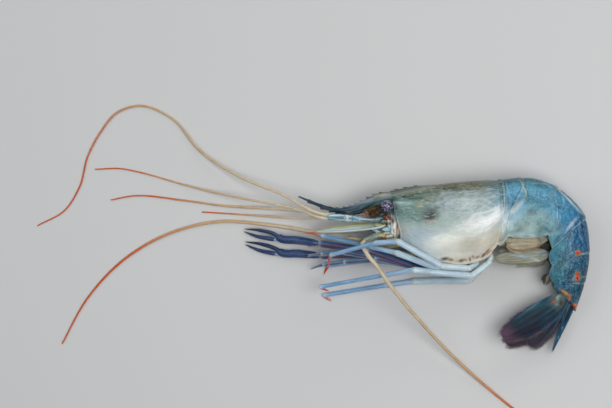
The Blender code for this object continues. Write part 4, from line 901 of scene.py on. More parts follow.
def add_rostrum(shape):
    share = np.linspace(0.0, 1.0, ROSTRUM_ROWS)
    upper, lower = (
        curve([ROSTRUM_ROOT[i], ROSTRUM_FOOT[i], *edge], share * (len(edge) + 1))
        for i, edge in enumerate((ROSTRUM_TOP, ROSTRUM_LOW))
    )
    depth = np.linalg.norm(upper - lower, axis=1)
    up = unit(upper - lower)
    ahead = np.stack([-up[:, 1], up[:, 0]], axis=1)
    ahead = np.where(ahead[:, :1] < 0, ahead, -ahead)
    blade = np.clip((share - 0.14) / 0.86, 0.0, 1.0)
    height = np.minimum(TOOTH_HEIGHT, depth * 0.5)[:, None]
    dorsal = (up * height + ahead * TOOTH_LEAN) * saw(blade**1.15, DORSAL_TEETH, 0.01, 0.95)[:, None]
    ventral = (-up * height + ahead * TOOTH_LEAN) * saw(blade, VENTRAL_TEETH, 0.28, 0.96)[:, None]
    wide = 0.2 + 1.4 * (1 - blade**0.8)
    loop = [(*row, 1) for row in ROSTRUM_SECTION] + [(*row, -1) for row in ROSTRUM_SECTION[::-1]]
    rows, tints, grain = (np.zeros((ROSTRUM_ROWS, len(loop), 3)) for _ in range(3))
    near, roof = smooth(share, 0.42, 0.2), smooth(share, 0.4, 0.11)
    for i, (level, lateral, tooth, side) in enumerate(loop):
        half = wide * lateral * (1 - roof) + ROOF_HALF_WIDTH * (1.01 - level) ** 0.42 * roof
        rows[:, i, :2] = lower + (upper - lower) * level + (dorsal if level > 0.5 else ventral) * tooth
        rows[:, i, 2] = MIDDLE[0] + half * side
        paint = mixed(SLATE, KEEL_BLUE, 0.7 * bell(level, 0.1, 0.25))
        paint = mixed(paint, TEAL, near * smooth(level, 0.15, 0.5))
        paint = mixed(paint, RIDGE_BLUE, 0.8 * (1 - near) * bell(level, 0.62, 0.12))
        tints[:, i] = mixed(paint, TOOTH_TIP, 0.6 * tooth * smooth(blade, 0.5, 0.9))
        grain[:, i, 0], grain[:, i, 1] = share * ROSTRUM_GRAIN[0], level * ROSTRUM_GRAIN[1]
    tints, streak = patched(rows, tints, 0.7, ROSTRUM_PATCHES)
    add_rows(shape, rows, tints, grain=grain, streak=streak)
    # Short hairs stand between the teeth of the lower edge.
    index = (np.linspace(0.36, 0.93, ROSTRUM_HAIRS) * (ROSTRUM_ROWS - 1)).astype(int)
    heights = MIDDLE[0] + RANDOM.uniform(-0.2, 0.2, ROSTRUM_HAIRS)
    roots = np.column_stack([lower[index] + up[index] * 0.3, heights])
    ways = np.column_stack([-up[index] + ahead[index] * 0.9, RANDOM.uniform(-0.2, 0.2, ROSTRUM_HAIRS)])
    lengths = RANDOM.uniform(0.8, 1.4, ROSTRUM_HAIRS)
    add_hairs(shape, roots, ways, lengths, THIN_HAIR, colour(128, 96, 64), look=1)


def make_shell():
    shape = Shape()
    shell_plate(shape, 0, 6, CARAPACE_SHARES, CARAPACE_CORNER, carapace_relief, True)
    add_carapace_spines(shape)
    shape.build("carapace_shell", (SHELL, FRINGE), "shell_pale", "carapace")
    shape = Shape()
    add_rostrum(shape)
    shape.build("rostrum_blade", (BLADE_SHELL, FRINGE), "shell_blue", "rostrum")
    for name, start, end in SEGMENTS:
        shape = Shape()
        shell_plate(shape, start, end, SEGMENT_SHARES, SEGMENT_CORNER, segment_relief, end < TAIL_END)
        shape.build(f"{name}_shell", (TAIL_SEGMENTS,), "shell_blue", name)


# Where things grow from: the face, the groove under the body, and the last segment's end

FACE_LENGTH = 5.4
HEAD_MIDDLE = MIDDLE[0]


def head_frame(ahead):
    """A point in the middle, ahead of the carapace's rim, and the directions forward and up there."""
    rim = Sections(np.array([0.0]))
    up = np.array([*rim.up[0], 0.0])
    forward = np.cross(UP, up)
    return rim.point(0.0, 0.0)[0] + forward * ahead, forward, up


def face_root(level, lateral):
    """A point just clear of the face, and the direction forward."""
    centre, forward, up = head_frame(FACE_LENGTH + GAP)
    return centre + up * level + np.array([0.0, 0.0, lateral]), forward


def head_points(places, side):
    """Points of the head, given with their distance from its middle plane, on one side."""
    return [np.array([x, y, HEAD_MIDDLE + side * lateral]) for x, y, lateral in places]


def underside(place, lateral, raise_by=None):
    """A point clear of the sternum, or of the groove's ceiling if raise_by is None, and its direction."""
    section = Sections(np.array([place, place + 0.15, place - 0.15]))
    level = section.ceiling if raise_by is None else raise_by - section.half_depth
    _, ahead, behind = section.point(0.0, level)
    run = ahead - behind
    square = unit(np.array([run[1], -run[0], 0.0]))
    square = square if square[:2].dot(section.up[0]) < 0 else -square
    return section.point(lateral, level)[0] + square * GAP, square


def tail_root(level, lateral):
    """A point just clear of the last segment's end, and the direction out of it."""
    section = Sections(np.array([float(TAIL_END)]))
    up = section.up[0]
    square = np.array([up[1], -up[0], 0.0])
    square = square if square[1] < 0 else -square
    return section.point(lateral, level)[0] + square * GAP, square


STERNUM_RAISE = 1.4

# Limbs

LIMB_SIDES = 16
LIMB_TURN = np.linspace(0, 1, LIMB_SIDES, endpoint=False)[None]
LIMB_FLATTEN = 0.9
BALL_SHARE = 0.88  # a joint's ball, as a share of the limb before it
# Shares along a hard length and along the last one, which tapers, with the thickness there.
SEGMENT_STOPS = np.array([0.0, 0.02, 0.06, 0.12, 0.25, 0.5, 0.75, 0.88, 0.94, 0.975, 1.0])
SEGMENT_SIZES = np.array([0.6, 0.84, 0.95, 0.98, 0.95, 0.92, 0.94, 0.98, 1.02, 1.02, 0.86])
TIP_STOPS = np.array([0.0, 0.03, 0.1, 0.25, 0.45, 0.65, 0.82, 0.94, 1.0])
TIP_SIZES = np.array([0.7, 0.98, 1.05, 0.92, 0.74, 0.55, 0.36, 0.17, 0.05])
TIP_BOW = 0.05
PALE_LIMB, SHIN_BLUE, JOINT_WHITE = colour(198, 218, 226), colour(118, 162, 202), colour(222, 226, 220)
BLUE_LIMB, RED_EDGE, DACTYL = colour(92, 142, 182), colour(96, 30, 38), colour(196, 56, 4)
DEEP_BLUE, CLAW_BLUE = colour(46, 82, 132), colour(30, 56, 104)
COXA = mixed(JOINT_WHITE, colour(190, 160, 110), 0.35)
ARM_JOINT, ARM_BALL, CLAW_BALL = (mixed(JOINT_WHITE, BLUE_LIMB, share) for share in (0.35, 0.4, 0.8))
LEG_HAIR = mixed(JOINT_WHITE, colour(150, 120, 80), 0.5)


def add_ball(shape, centre, radius, tint, way, squeeze=1.0, rows=9, sides=14):
    """A ball whose poles lie along way. squeeze flattens it that way."""
    turns = (np.arange(rows) + 0.5) / rows * math.pi
    pole = unit(way) * radius * squeeze
    sizes = np.sin(turns) * radius
    path = centre - pole * np.cos(turns)[:, None]
    add_rows(shape, sweep(path, sizes, sizes, circle(sides)), tint, ends=[centre - pole, centre + pole])


def limb_tint(base, joint, dark_edge, share, turn):
    """Colours round a limb: paler at the joints, with a painted highlight along one side, and a dark line
    along one edge if dark_edge is given.
    """
    ends = np.maximum(smooth(share, 0.05, 0.0), smooth(share, 0.93, 1.0)) + 0 * turn
    paint = mixed(base, joint, ends * 0.5)
    # A painted highlight runs along one side of the limb.
    streak = bell((turn - 0.25) % 1.0, 0.5, 0.16) * (1 - ends)
    paint = mixed(paint, np.minimum(base * 1.45 + 0.04, 1.0), streak * 0.5)
    if dark_edge is not None:
        paint = mixed(paint, dark_edge, bell((turn + 0.2) % 1.0, 0.5, 0.07) * 0.9 * (1 - 0.5 * ends))
    return paint


def add_limb(shape, points, radii, tip_radius, near, far, dark_edge, claw, hair):
    """A limb of hard lengths with pale joints. The last length tapers to a point, coloured claw if given.

    hair is the number of hairs for each millimetre of the last two lengths.
    """
    for number, (start, end) in enumerate(zip(points, points[1:])):
        radius, length, way = radii[number], np.linalg.norm(end - start), unit(end - start)
        base = mixed(near, far, smooth(number, 2, len(points) - 3))
        last = number == len(points) - 2
        if last:
            stops, sizes = TIP_STOPS, TIP_SIZES
            sizes = np.maximum(radius * sizes, tip_radius * sizes / sizes[-1] * 0.2)
        else:
            scale = min(1.0, radius * 9 / length)
            stops = np.where(SEGMENT_STOPS < 0.5, SEGMENT_STOPS * scale, 1 - (1 - SEGMENT_STOPS) * scale)
            stops[len(stops) // 2] = 0.5
            sizes = SEGMENT_SIZES * radius
        path = start + way * (stops * length)[:, None]
        if last:
            path = path + np.cross(way, UP) * (np.sin(stops * math.pi) * length * TIP_BOW)[:, None]
        paint = limb_tint(base, JOINT_WHITE, dark_edge, stops[:, None], LIMB_TURN)
        if last and claw is not None:
            paint = mixed(paint, claw, smooth(stops, 0.0, 0.35)[:, None])
        add_rows(shape, sweep(path, sizes, sizes * LIMB_FLATTEN, circle(LIMB_SIDES)), paint)
        if number:
            add_ball(shape, start, radii[number - 1] * BALL_SHARE, mixed(base, JOINT_WHITE, 0.45), way)
        if hair and number >= len(points) - 3:
            count = int(hair * length)
            share = RANDOM.uniform(0.1, 0.95, count)
            spin = RANDOM.uniform(0, 2 * math.pi, count)
            across, thick = frames(path)
            out = across[0] * np.cos(spin)[:, None] + thick[0] * np.sin(spin)[:, None]
            size = np.interp(share, stops, sizes)[:, None]
            roots = start + way * (share * length)[:, None] + out * size * LIMB_FLATTEN
            lengths = RANDOM.uniform(0.5, 1.3, count)
            add_hairs(shape, roots, out + way * 1.3, lengths, THIN_HAIR, LEG_HAIR, look=1)


def route_sizes(path, route, sizes):
    """The size at each point of a smooth path, from the sizes at the points of its route."""
    nearest = [np.argmin(np.linalg.norm(path - point, axis=1)) for point in route]
    return np.interp(np.arange(len(path)), nearest, sizes)


LEG_RADII = (1.5, 1.6, 1.6, 1.68, 1.4, 1.14, 0.8)  # with the skin and joints that the solids leave out
LEG_ROOT_LENGTH = 1.7
COXA_RADIUS, ARM_COXA_RADIUS = 1.75, 1.85  # the soft ball at a limb's root
# Place along the body, lane from the middle plane, and joints of each leg.
LEGS = {
    "leg_1_left": (2.2, 2.4, (
        (-7.4, -20.8, 17.3), (-12.5, -22.6, 14.5), (-34.5, -17.5, 13.2), (-50.5, -14.7, 11.3),
        (-61.5, -15.5, 10.3), (-68.5, -17.0, 9.4),
    )),
    "leg_3_left": (3.55, 4.6, (
        (5.4, -22.9, 22.2), (-4.5, -22.3, 23.1), (-24.5, -14.8, 22.2), (-36.5, -12.0, 19.4),
        (-61.3, -6.3, 15.0), (-70.5, -5.0, 13.4),
    )),
    "leg_4_left": (4.3, 4.6, (
        (11.5, -22.5, 23.0), (-2.0, -21.4, 27.4), (-24.0, -9.0, 30.2), (-35.0, -9.8, 29.8),
        (-57.0, -15.8, 22.0), (-58.3, -22.3, 18.0),
    )),
    "leg_5_left": (5.15, 4.4, (
        (21.5, -19.8, 22.0), (13.0, -26.3, 24.5), (-16.0, -23.3, 25.0), (-29.5, -25.8, 22.0),
        (-62.5, -32.0, 13.0), (-57.6, -34.2, 11.2),
    )),
    "leg_1_right": (2.2, -2.4, (
        (-7.4, -20.8, 13.4), (-12.5, -21.4, 11.3), (-35.0, -18.5, 9.6), (-50.0, -19.5, 7.8),
        (-60.5, -21.0, 6.2), (-67.0, -23.5, 5.0),
    )),
    "leg_3_right": (3.55, -4.6, (
        (5.4, -22.8, 9.6), (-5.0, -22.0, 4.6), (-24.5, -13.5, 3.2), (-36.5, -11.5, 2.2),
        (-61.0, -10.5, 0.8), (-69.0, -12.0, 0.3),
    )),
    "leg_4_right": (4.3, -4.6, (
        (11.5, -22.7, 8.6), (-1.0, -25.4, 2.6), (-22.0, -19.0, 1.2), (-34.0, -18.5, 1.0),
        (-58.0, -21.5, 0.8), (-60.5, -26.0, 0.3),
    )),
    "leg_5_right": (5.15, -4.4, (
        (21.5, -20.6, 8.8), (12.5, -29.0, 4.8), (-15.5, -29.4, 1.2), (-29.0, -31.4, 1.0),
        (-60.5, -36.5, 0.8), (-56.5, -39.5, 0.3),
    )),
}
LEG_TUFT = 60
ARM_RADII = (1.6, 1.6, 1.5, 1.65, 1.75)
PALM_RADIUS = 2.0
FINGER_RADIUS = 1.05
CLAW_ROWS = 60
CLAW_SIDES = 18
CLAW_HAIRS = 34
# Place along the body, lane, joints, the palm's end and the fingers' tip.
ARMS = {
    "left": (
        2.9, 4.2, ((-1.6, -23.4, 19.4), (-8.5, -24.4, 18.6), (-38.5, -13.8, 16.2), (-62.5, -10.3, 9.0)),
        (-84.5, -7.2, 4.6), (-100.5, -4.0, 1.8),
    ),
    "right": (
        2.9, -4.2, ((-1.6, -22.6, 10.8), (-8.5, -23.2, 8.0), (-38.0, -15.8, 5.6), (-62.0, -16.5, 3.2)),
        (-84.0, -14.5, 1.95), (-100.0, -10.5, 1.2),
    ),
}


def limb_points(place, lateral, joints):
    """The points of a limb that grows from the sternum, and the direction in which it leaves it."""
    root, square = underside(place, lateral, STERNUM_RAISE)
    return [root, root + square * LEG_ROOT_LENGTH, *(np.array(joint) for joint in joints)], square


def make_legs():
    for name, (place, lateral, joints) in LEGS.items():
        shape = Shape()
        points, square = limb_points(place, lateral, joints)
        clawed = name.startswith("leg_1")
        base, far, edge, tip = (
            (BLUE_LIMB, BLUE_LIMB, RED_EDGE, None) if clawed else (PALE_LIMB, SHIN_BLUE, None, DACTYL)
        )
        add_ball(shape, points[0] + square * 0.2, COXA_RADIUS, COXA, square, 0.7)
        add_limb(shape, points, LEG_RADII, 0.18, base, far, edge, tip, 1.4)
        if clawed:
            # The first leg ends in a small pair of fingers with a tuft.
            wrist, end = points[-2:]
            aside = unit(np.cross(end - wrist, UP)) * 1.1
            foot = wrist + (end - wrist) * 0.45 + aside * 0.4
            finger = end + aside - foot
            add_spine(shape, foot, finger, np.linalg.norm(finger), 0.5, base, colour(170, 150, 120))
            roots = wrist + (end - wrist) * RANDOM.uniform(0.2, 0.95, (LEG_TUFT, 1)) + aside * 0.35
            ways = (end - wrist) / 7 + RANDOM.normal(0, 0.55, (LEG_TUFT, 3))
            lengths = RANDOM.uniform(0.9, 1.8, LEG_TUFT)
            add_hairs(shape, roots, ways, lengths, THIN_HAIR, colour(178, 150, 100), look=1)
        shape.build(f"{name}_limb", (LIMB, FRINGE), "limb_blue", name)


def add_tubercles(shape, rows, tint, spacing, height, radius):
    """Small pointed grains all over a tube of rows, in offset lines. spacing is in rows."""
    count, sides, _ = rows.shape
    roots, ways, sizes = [], [], []
    for i in range(1, count - 1, spacing):
        centre = rows[i].mean(axis=0)
        for j in range((i // spacing) % 2, sides, 2):
            out = rows[i, j] - centre
            roots.append(rows[i, j] - unit(out) * 0.04)
            ways.append(unit(out) + unit(rows[i + 1].mean(axis=0) - centre) * 0.7)
            sizes.append(height * RANDOM.uniform(0.7, 1.3))
    add_hairs(shape, roots, ways, np.array(sizes), radius, tint)


def make_arms():
    for side_name, (place, lateral, joints, palm_end, tip) in ARMS.items():
        points, square = limb_points(place, lateral, joints)
        shape = Shape()
        add_ball(shape, points[0] + square * 0.2, ARM_COXA_RADIUS, COXA, square, 0.7)
        for number, (start, end) in enumerate(zip(points, points[1:])):
            radius, length, way = ARM_RADII[number], np.linalg.norm(end - start), unit(end - start)
            inner = np.linspace(0.08, 0.92, max(6, int(length)))
            stops = np.concatenate([[0.0, 0.02, 0.05], inner, [0.95, 0.98, 1.0]])
            sizes = radius * np.interp(stops, SEGMENT_STOPS, SEGMENT_SIZES)
            rows = sweep(start + way * (stops * length)[:, None], sizes, sizes * 0.95, circle(LIMB_SIDES))
            base = mixed(BLUE_LIMB, DEEP_BLUE, min(1.0, number / 3))
            edge = RED_EDGE if number > 1 else None
            add_rows(shape, rows, limb_tint(base, ARM_JOINT, edge, stops[:, None], LIMB_TURN))
            if number:
                add_ball(shape, start, ARM_RADII[number - 1] * 0.86, ARM_BALL, way)
            if number > 1:
                add_tubercles(shape, rows, base * 0.8, 1, 0.34, 0.13)
        shape.build(f"arm_{side_name}_limb", (CLAW, FRINGE), "limb_blue", f"arm_{side_name}")
        wrist, palm_end, tip = points[-1], np.array(palm_end), np.array(tip)
        hand, before = unit(palm_end - wrist), unit(wrist - points[-2])
        neck = wrist + before * (GAP + 0.1)
        spread = unit(np.cross(hand, UP))
        fixed_tip = tip + spread * 0.9
        route = [neck, neck + before, neck + hand * 3, (neck + palm_end) / 2, palm_end - hand * 1.5]
        route += [palm_end + spread * 0.9, (palm_end + fixed_tip) / 2 + spread * 1.3, fixed_tip]
        scales = [PALM_RADIUS * scale for scale in (0.55, 0.66, 0.9, 1.05, 1.0)]
        scales += [FINGER_RADIUS, FINGER_RADIUS * 0.8, 0.22]
        add_claw_part(f"claw_{side_name}", route, scales, -spread, 0.56)
        hinge = palm_end + hand * (GAP + 0.4) - spread * 1.25
        end = tip - spread * 0.5
        middle = (hinge + end) / 2 - spread * 0.7
        route = [hinge, hinge + (middle - hinge) * 0.3, middle, end]
        scales = [FINGER_RADIUS * 0.85, FINGER_RADIUS, FINGER_RADIUS * 0.8, 0.2]
        add_claw_part(f"claw_finger_{side_name}", route, scales, spread, 0.12)


def add_claw_part(node, route, scales, biting, first):
    """A palm or finger with grains all over, and hairs along its biting edge from the share first."""
    path, reached = smooth_path(route, CLAW_ROWS)
    sizes = route_sizes(path, route, scales)
    sizes[:3] *= (0.6, 0.85, 0.97)
    rows = sweep(path, sizes, sizes * 0.94, circle(CLAW_SIDES))
    share = reached / reached[-1]
    shape = Shape()
    paint = mixed(CLAW_BLUE, colour(16, 30, 66), smooth(share, 0.5, 0.9))
    add_rows(shape, rows, mixed(paint, colour(120, 60, 44), smooth(share, 0.96, 1.0)))
    # Soft skin shows at the joint that carries the palm or finger.
    back = unit(route[0] - route[1])
    add_ball(shape, route[0] + back * 0.35, scales[0] * 0.95, CLAW_BALL, back)
    add_tubercles(shape, rows[:-6], CLAW_BLUE * 1.25, 2, 0.36, 0.15)
    at_share = np.linspace(first, 0.95, CLAW_HAIRS)
    size = np.interp(at_share, share, sizes)[:, None]
    roots = along_path(path, share, at_share) + biting * size * 0.85
    ways = biting + RANDOM.normal(0, 0.35, (CLAW_HAIRS, 3))
    lengths = RANDOM.uniform(0.5, 1.0, CLAW_HAIRS)
    add_hairs(shape, roots, ways, lengths, THIN_HAIR, colour(150, 124, 92), look=1)
    shape.build(f"{node}_shell", (CLAW, FRINGE), "claw_blue", node)


# Mouth legs, face and sternum

MOUTH_LEG_PLACE = 1.5
MOUTH_LEG_LATERAL = 2.3
MOUTH_LEG_JOINTS = ((-21.0, -15.8, 2.2), (-31.5, -12.2, 1.8), (-41.0, -8.6, 1.7), (-48.5, -7.6, 1.4))
MOUTH_LEG_RADII = (1.5, 1.5, 1.35, 1.2, 1.0, 0.8)
MOUTH_GREY, MOUTH_BROWN, BEIGE = colour(176, 182, 158), colour(120, 84, 52), colour(190, 178, 140)
MOUTH_HAIRS = 70  # on each length of a mouth leg


def make_mouth():
    for side_name, side in SIDES:
        joints = head_points(MOUTH_LEG_JOINTS, side)
        points, _ = limb_points(MOUTH_LEG_PLACE, side * MOUTH_LEG_LATERAL, joints)
        shape = Shape()
        add_limb(shape, points, MOUTH_LEG_RADII, 0.3, MOUTH_GREY, MOUTH_GREY, MOUTH_BROWN, BEIGE, 0)
        for start, end in zip(points[1:], points[2:]):
            roots = start + (end - start) * RANDOM.uniform(0.0, 1.0, (MOUTH_HAIRS, 1))
            roots[:, 1] += 0.9 * RANDOM.uniform(-1, 1, MOUTH_HAIRS)
            ways = unit(end - start) * 0.8 + np.array([0.0, 1.0, -side * 0.4])
            ways = ways + RANDOM.normal(0, 0.3, (MOUTH_HAIRS, 3))
            lengths = RANDOM.uniform(1.0, 2.2, MOUTH_HAIRS)
            add_hairs(shape, roots, ways, lengths, FRINGE_HAIR, colour(170, 140, 92), look=1)
        shape.build(f"mouth_leg_{side_name}_limb", (FLESH, FRINGE), "membrane", f"mouth_leg_{side_name}")


WELD = 0.01  # points of a solid that lie nearer than this become one


def fine_points(node, levels):
    """The points and faces of a solid whose corners are rounded by subdivision."""
    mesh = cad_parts[node].data.copy()
    obj = placed("finer", mesh)
    weld = obj.modifiers.new("weld", "WELD")
    weld.merge_threshold = WELD * MM
    rounded = obj.modifiers.new("round", "SUBSURF")
    rounded.levels = rounded.render_levels = levels
    bpy.context.view_layer.update()
    fine = bpy.data.meshes.new_from_object(obj.evaluated_get(bpy.context.evaluated_depsgraph_get()))
    points = np.empty(len(fine.vertices) * 3)
    fine.vertices.foreach_get("co", points)
    faces = [tuple(polygon.vertices) for polygon in fine.polygons]
    bpy.data.objects.remove(obj)
    for old in (mesh, fine):
        bpy.data.meshes.remove(old)
    return points.reshape(-1, 3) / MM, faces


FACE_PATCHES = (
    ((387.0, 213.0), (6.0, 3.0), 0, (50, 34, 22), 0.9, 0),
    ((388.0, 217.6), (5.4, 1.6), -16, (116, 50, 8), 0.97, 0),
    ((385.0, 222.0), (1.4, 2.6), 10, (112, 66, 26), 0.9, 0),
    ((392.4, 221.0), (1.6, 2.6), 30, (122, 52, 10), 0.95, 0),
    ((388.8, 223.6), (2.4, 1.6), 0, (22, 70, 78), 0.9, 0.2),
    ((381.0, 225.5), (4.0, 1.6), -10, (176, 160, 96), 0.8, 0.2),
    ((379.0, 228.2), (5.0, 0.8), 0, (70, 66, 44), 0.7, 0),
    ((389.5, 228.5), (2.8, 2.8), 0, (164, 194, 206), 0.8, 0.2),
    ((386.0, 231.5), (4.0, 0.6), 10, (90, 110, 104), 0.6, 0),
    ((394.0, 225.5), (1.1, 3.4), -10, (240, 242, 240), 0.95, 0),
    ((396.8, 227.0), (1.2, 5.4), -14, (146, 80, 40), 0.95, 0),
    ((394.6, 232.0), (1.0, 4.5), 0, (234, 238, 238), 0.9, 0),
    ((398.6, 233.0), (0.9, 5.0), -8, (196, 150, 106), 0.7, 0),
    ((384.0, 235.0), (4.6, 2.0), -8, (206, 176, 116), 0.9, 0),
    ((391.0, 235.0), (3.0, 3.0), 0, (208, 218, 214), 0.7, 0),
)
# Lumps where the antennae and their blades join the face: centre, half sizes along and up, tilt and colour.
FACE_LUMPS = (
    ((-32.4, -1.2, 5.6), (3.4, 1.3), 6, (128, 138, 104)),
    ((-30.2, 0.7, 6.6), (2.0, 1.0), 20, (70, 100, 96)),
    ((-28.6, 2.5, 7.0), (2.4, 0.8), -16, (120, 76, 44)),
    ((-31.2, 1.4, 6.2), (1.3, 0.6), 60, (110, 84, 50)),
    ((-29.4, -3.4, 7.2), (2.0, 1.3), 10, (146, 180, 192)),
    ((-31.0, -6.4, 6.8), (2.6, 1.0), 10, (178, 170, 136)),
    ((-27.6, -6.4, 7.3), (2.2, 0.9), 24, (180, 200, 200)),
    ((-33.8, -4.2, 5.8), (2.6, 1.0), -12, (150, 184, 180)),
    ((-31.0, -2.8, 6.4), (2.4, 0.6), -10, (120, 160, 166)),
    ((-29.0, -5.0, 7.2), (2.2, 0.6), 14, (170, 192, 190)),
    ((-26.6, -3.8, 7.5), (2.4, 0.7), 98, (196, 202, 196)),
    ((-25.3, -5.0, 7.7), (2.6, 0.6), 98, (130, 92, 60)),
)
LUMP_ROWS = 25
LUMP_SIDES = 28
# Plates of the mouth: root, tip and half width.
MOUTH_PLATES = (
    ((-24.5, -6.5, 4.5), (-33.5, -8.6, 4.2), 2.2), ((-23.5, -8.6, 3.6), (-36.0, -10.4, 3.2), 2.0),
    ((-22.5, -10.8, 2.4), (-38.5, -11.4, 2.0), 1.8), ((-24.0, -5.2, 6.2), (-31.0, -10.6, 6.0), 1.9),
)


def add_lump(shape, centre, halves, way, shade):
    """A soft flat swelling, with painted shade where it sinks in."""
    turns = (np.arange(LUMP_ROWS) + 0.5) / LUMP_ROWS * math.pi
    path = centre - unit(way) * (np.cos(turns) * halves[0])[:, None]
    path[:, 1] += 0.35 * np.sin(turns * 2) * halves[1]
    thick = np.sin(turns) ** 0.7
    rows = sweep(path, thick * halves[1], thick * halves[2], circle(LUMP_SIDES), UP)
    x, y, z = (rows[..., axis] for axis in range(3))
    swell = 1 + 0.14 * np.sin(x * 3.1 + z * 2.3) + 0.12 * np.sin(y * 5.3 + x)
    rows = path[:, None] + (rows - path[:, None]) * swell[..., None]
    x, y, z = (rows[..., axis] for axis in range(3))
    # Painted shade where the lump sinks into the face.
    sunk = smooth(np.abs(z - centre[2]), halves[2] * 0.8, halves[2] * 0.2)
    paint = mixed(shade, shade * 0.3, 0.8 * sunk)
    wave = 0.5 + 0.5 * np.sin(x * 4.2 + y * 2.6)
    paint = mixed(paint, np.minimum(shade * 1.7 + 0.03, 0.8), 0.5 * wave)
    paint, streak = patched(rows, paint, 0.9, FACE_PATCHES)
    add_rows(shape, rows, paint, streak=streak)


def make_face():
    points, faces = fine_points("face", 4)
    middle = points.mean(axis=0)
    centre, forward, up = head_frame(0.0)
    ahead, level = (points - centre) @ forward, (points - middle) @ up
    # It reaches back into the carapace's opening, and down to the mouth.
    points = points - forward * 2.2 * smooth(ahead, 1.6, 0.3)[:, None]
    points = points + up * (level * 0.2 * (level < 0))[:, None]
    points[:, 2] += (points[:, 2] - middle[2]) * 0.1 * smooth(level, 1.0, -4.0)
    folds = np.sin(photo_pixels(points)[0] * 1.9 + level * 0.15) * smooth(level, 4.0, 1.0)
    points[:, 2] += np.sign(points[:, 2] - middle[2]) * 0.28 * folds
    tints = mixed(colour(146, 182, 188), colour(186, 184, 164), smooth(level, 1.0, -7.0))
    tints = mixed(tints, colour(232, 240, 240), 0.6 * smooth(folds, 0.2, 0.9))
    tints, streak = patched(points, tints, np.full(len(points), 0.4), FACE_PATCHES)
    shape = Shape()
    shape.add(points, faces, tints, grain=points[:, [1, 0, 2]], streak=streak)
    for _, side in SIDES:
        for place, (long, high), tilt, shade in FACE_LUMPS:
            (centre,) = head_points((place,), side)
            turned = math.radians(tilt)
            way = np.array([math.cos(turned), math.sin(turned), -0.25 * side])
            add_lump(shape, centre, (long, high, high * 0.7), way, colour(*shade))
        for start, end, half_width in MOUTH_PLATES:
            root, tip = head_points((start, end), side)
            add_leaf(
                shape, root, unit(tip - root), tip, (0.0, 0.5, 0.86 * side), half_width, 0.5, 0.5, 0.7,
                ((0.0, 0.2, 0.3),), plate_tint, 0.1, 24, (0.1, 1.3, 9.0, colour(150, 118, 70), 1.0),
            )
    shape.build("face_flesh", (FLESH, FRINGE), "limb_blue", "face")

    points, faces = fine_points("sternum", 2)
    ridge = 0.5 + 0.5 * np.sin(points[:, 0] * 0.9)
    tints = mixed(colour(186, 174, 146), colour(120, 80, 42), ridge * 0.7)
    shape = Shape()
    shape.add(points, faces, tints, streak=0.5)
    shape.build("sternum_plate", (FLESH,), "membrane", "sternum")


def plate_tint(share, across):
    worn = 0.7 * smooth(share, 0.4, 1.0) + 0.3 * bell(across, 0.0, 0.2)
    return mixed(colour(168, 170, 140), colour(116, 78, 44), worn)


# Eyes

EYE_RADIUS = 3.1
EYE_CENTRE = (-29.3, 8.4, 8.9)
STALK_LEVEL = 4.1
STALK_LATERAL = 2.0
STALK_BENDS = ((-34.8, 6.2, 3.5), (-35.9, 4.8, 7.4))
STALK_TUFT = (-39.2, 4.2, 7.4)
STALK_SIZES = (1.2, 1.3, 1.7, 2.35, 2.0)
STALK_ROWS, STALK_SIDES, STALK_HAIRS, TUFT_HAIRS = 40, 20, 900, 110
EYE_ROWS, EYE_SIDES = 26, 40


def make_eyes():
    for side_name, side in SIDES:
        centre, *bends = head_points((EYE_CENTRE, *STALK_BENDS), side)
        root, forward = face_root(STALK_LEVEL, side * STALK_LATERAL)
        towards = unit(centre - bends[-1])
        route = [root, root + forward * 0.9, *bends, centre - towards * EYE_RADIUS * 0.55]
        path, _ = smooth_path(route, STALK_ROWS)
        sizes = route_sizes(path, route, STALK_SIZES) * (1 + 0.06 * np.sin(np.arange(len(path)) * 1.3))
        rows = sweep(path, sizes, sizes, circle(STALK_SIDES))
        share = np.linspace(0, 1, len(path))
        paint = mixed(colour(140, 104, 70), colour(36, 24, 12), smooth(share, 0.1, 0.35))
        paint = mixed(paint, colour(18, 16, 20), smooth(share, 0.75, 0.95))
        shape = Shape()
        add_rows(shape, rows, paint)
        pick = RANDOM.integers(5, len(path) - 8, STALK_HAIRS)
        roots = rows[pick, RANDOM.integers(0, STALK_SIDES, STALK_HAIRS)]
        ways = unit(roots - path[pick]) - unit(np.gradient(path, axis=0))[pick] * 0.5
        shades = mixed(colour(26, 16, 8), colour(214, 150, 62), RANDOM.uniform(0, 1, STALK_HAIRS) ** 3)
        ways = ways + RANDOM.normal(0, 0.3, (STALK_HAIRS, 3))
        add_hairs(shape, roots, ways, RANDOM.uniform(0.6, 1.5, STALK_HAIRS), 0.09, shades)
        (tuft,) = head_points((STALK_TUFT,), side)
        roots = tuft + RANDOM.normal(0, (0.9, 1.0, 0.5), (TUFT_HAIRS, 3))
        ways = np.array([-1.0, 0.3, side * 0.2]) + RANDOM.normal(0, 0.6, (TUFT_HAIRS, 3))
        shades = mixed(colour(80, 46, 30), colour(226, 150, 104), RANDOM.uniform(0, 1, TUFT_HAIRS) ** 2)
        add_hairs(shape, roots, ways, RANDOM.uniform(0.7, 1.9, TUFT_HAIRS), 0.06, shades)
        shape.build(f"eyestalk_{side_name}_bristly", (BRISTLE,), "stalk", f"eyestalk_{side_name}")
        shape = Shape()
        turns = (np.arange(EYE_ROWS) + 0.5) / EYE_ROWS * math.pi
        paint = mixed(colour(26, 22, 30), colour(58, 54, 84), smooth(turns, 0.6, 1.3))
        add_ball(shape, centre, EYE_RADIUS, paint, towards, 1.0, EYE_ROWS, EYE_SIDES)
        shape.build(f"eye_{side_name}_cornea", (EYE,), "eye", f"eye_{side_name}")


# Feelers, their jointed bases, and the blade beside each antenna

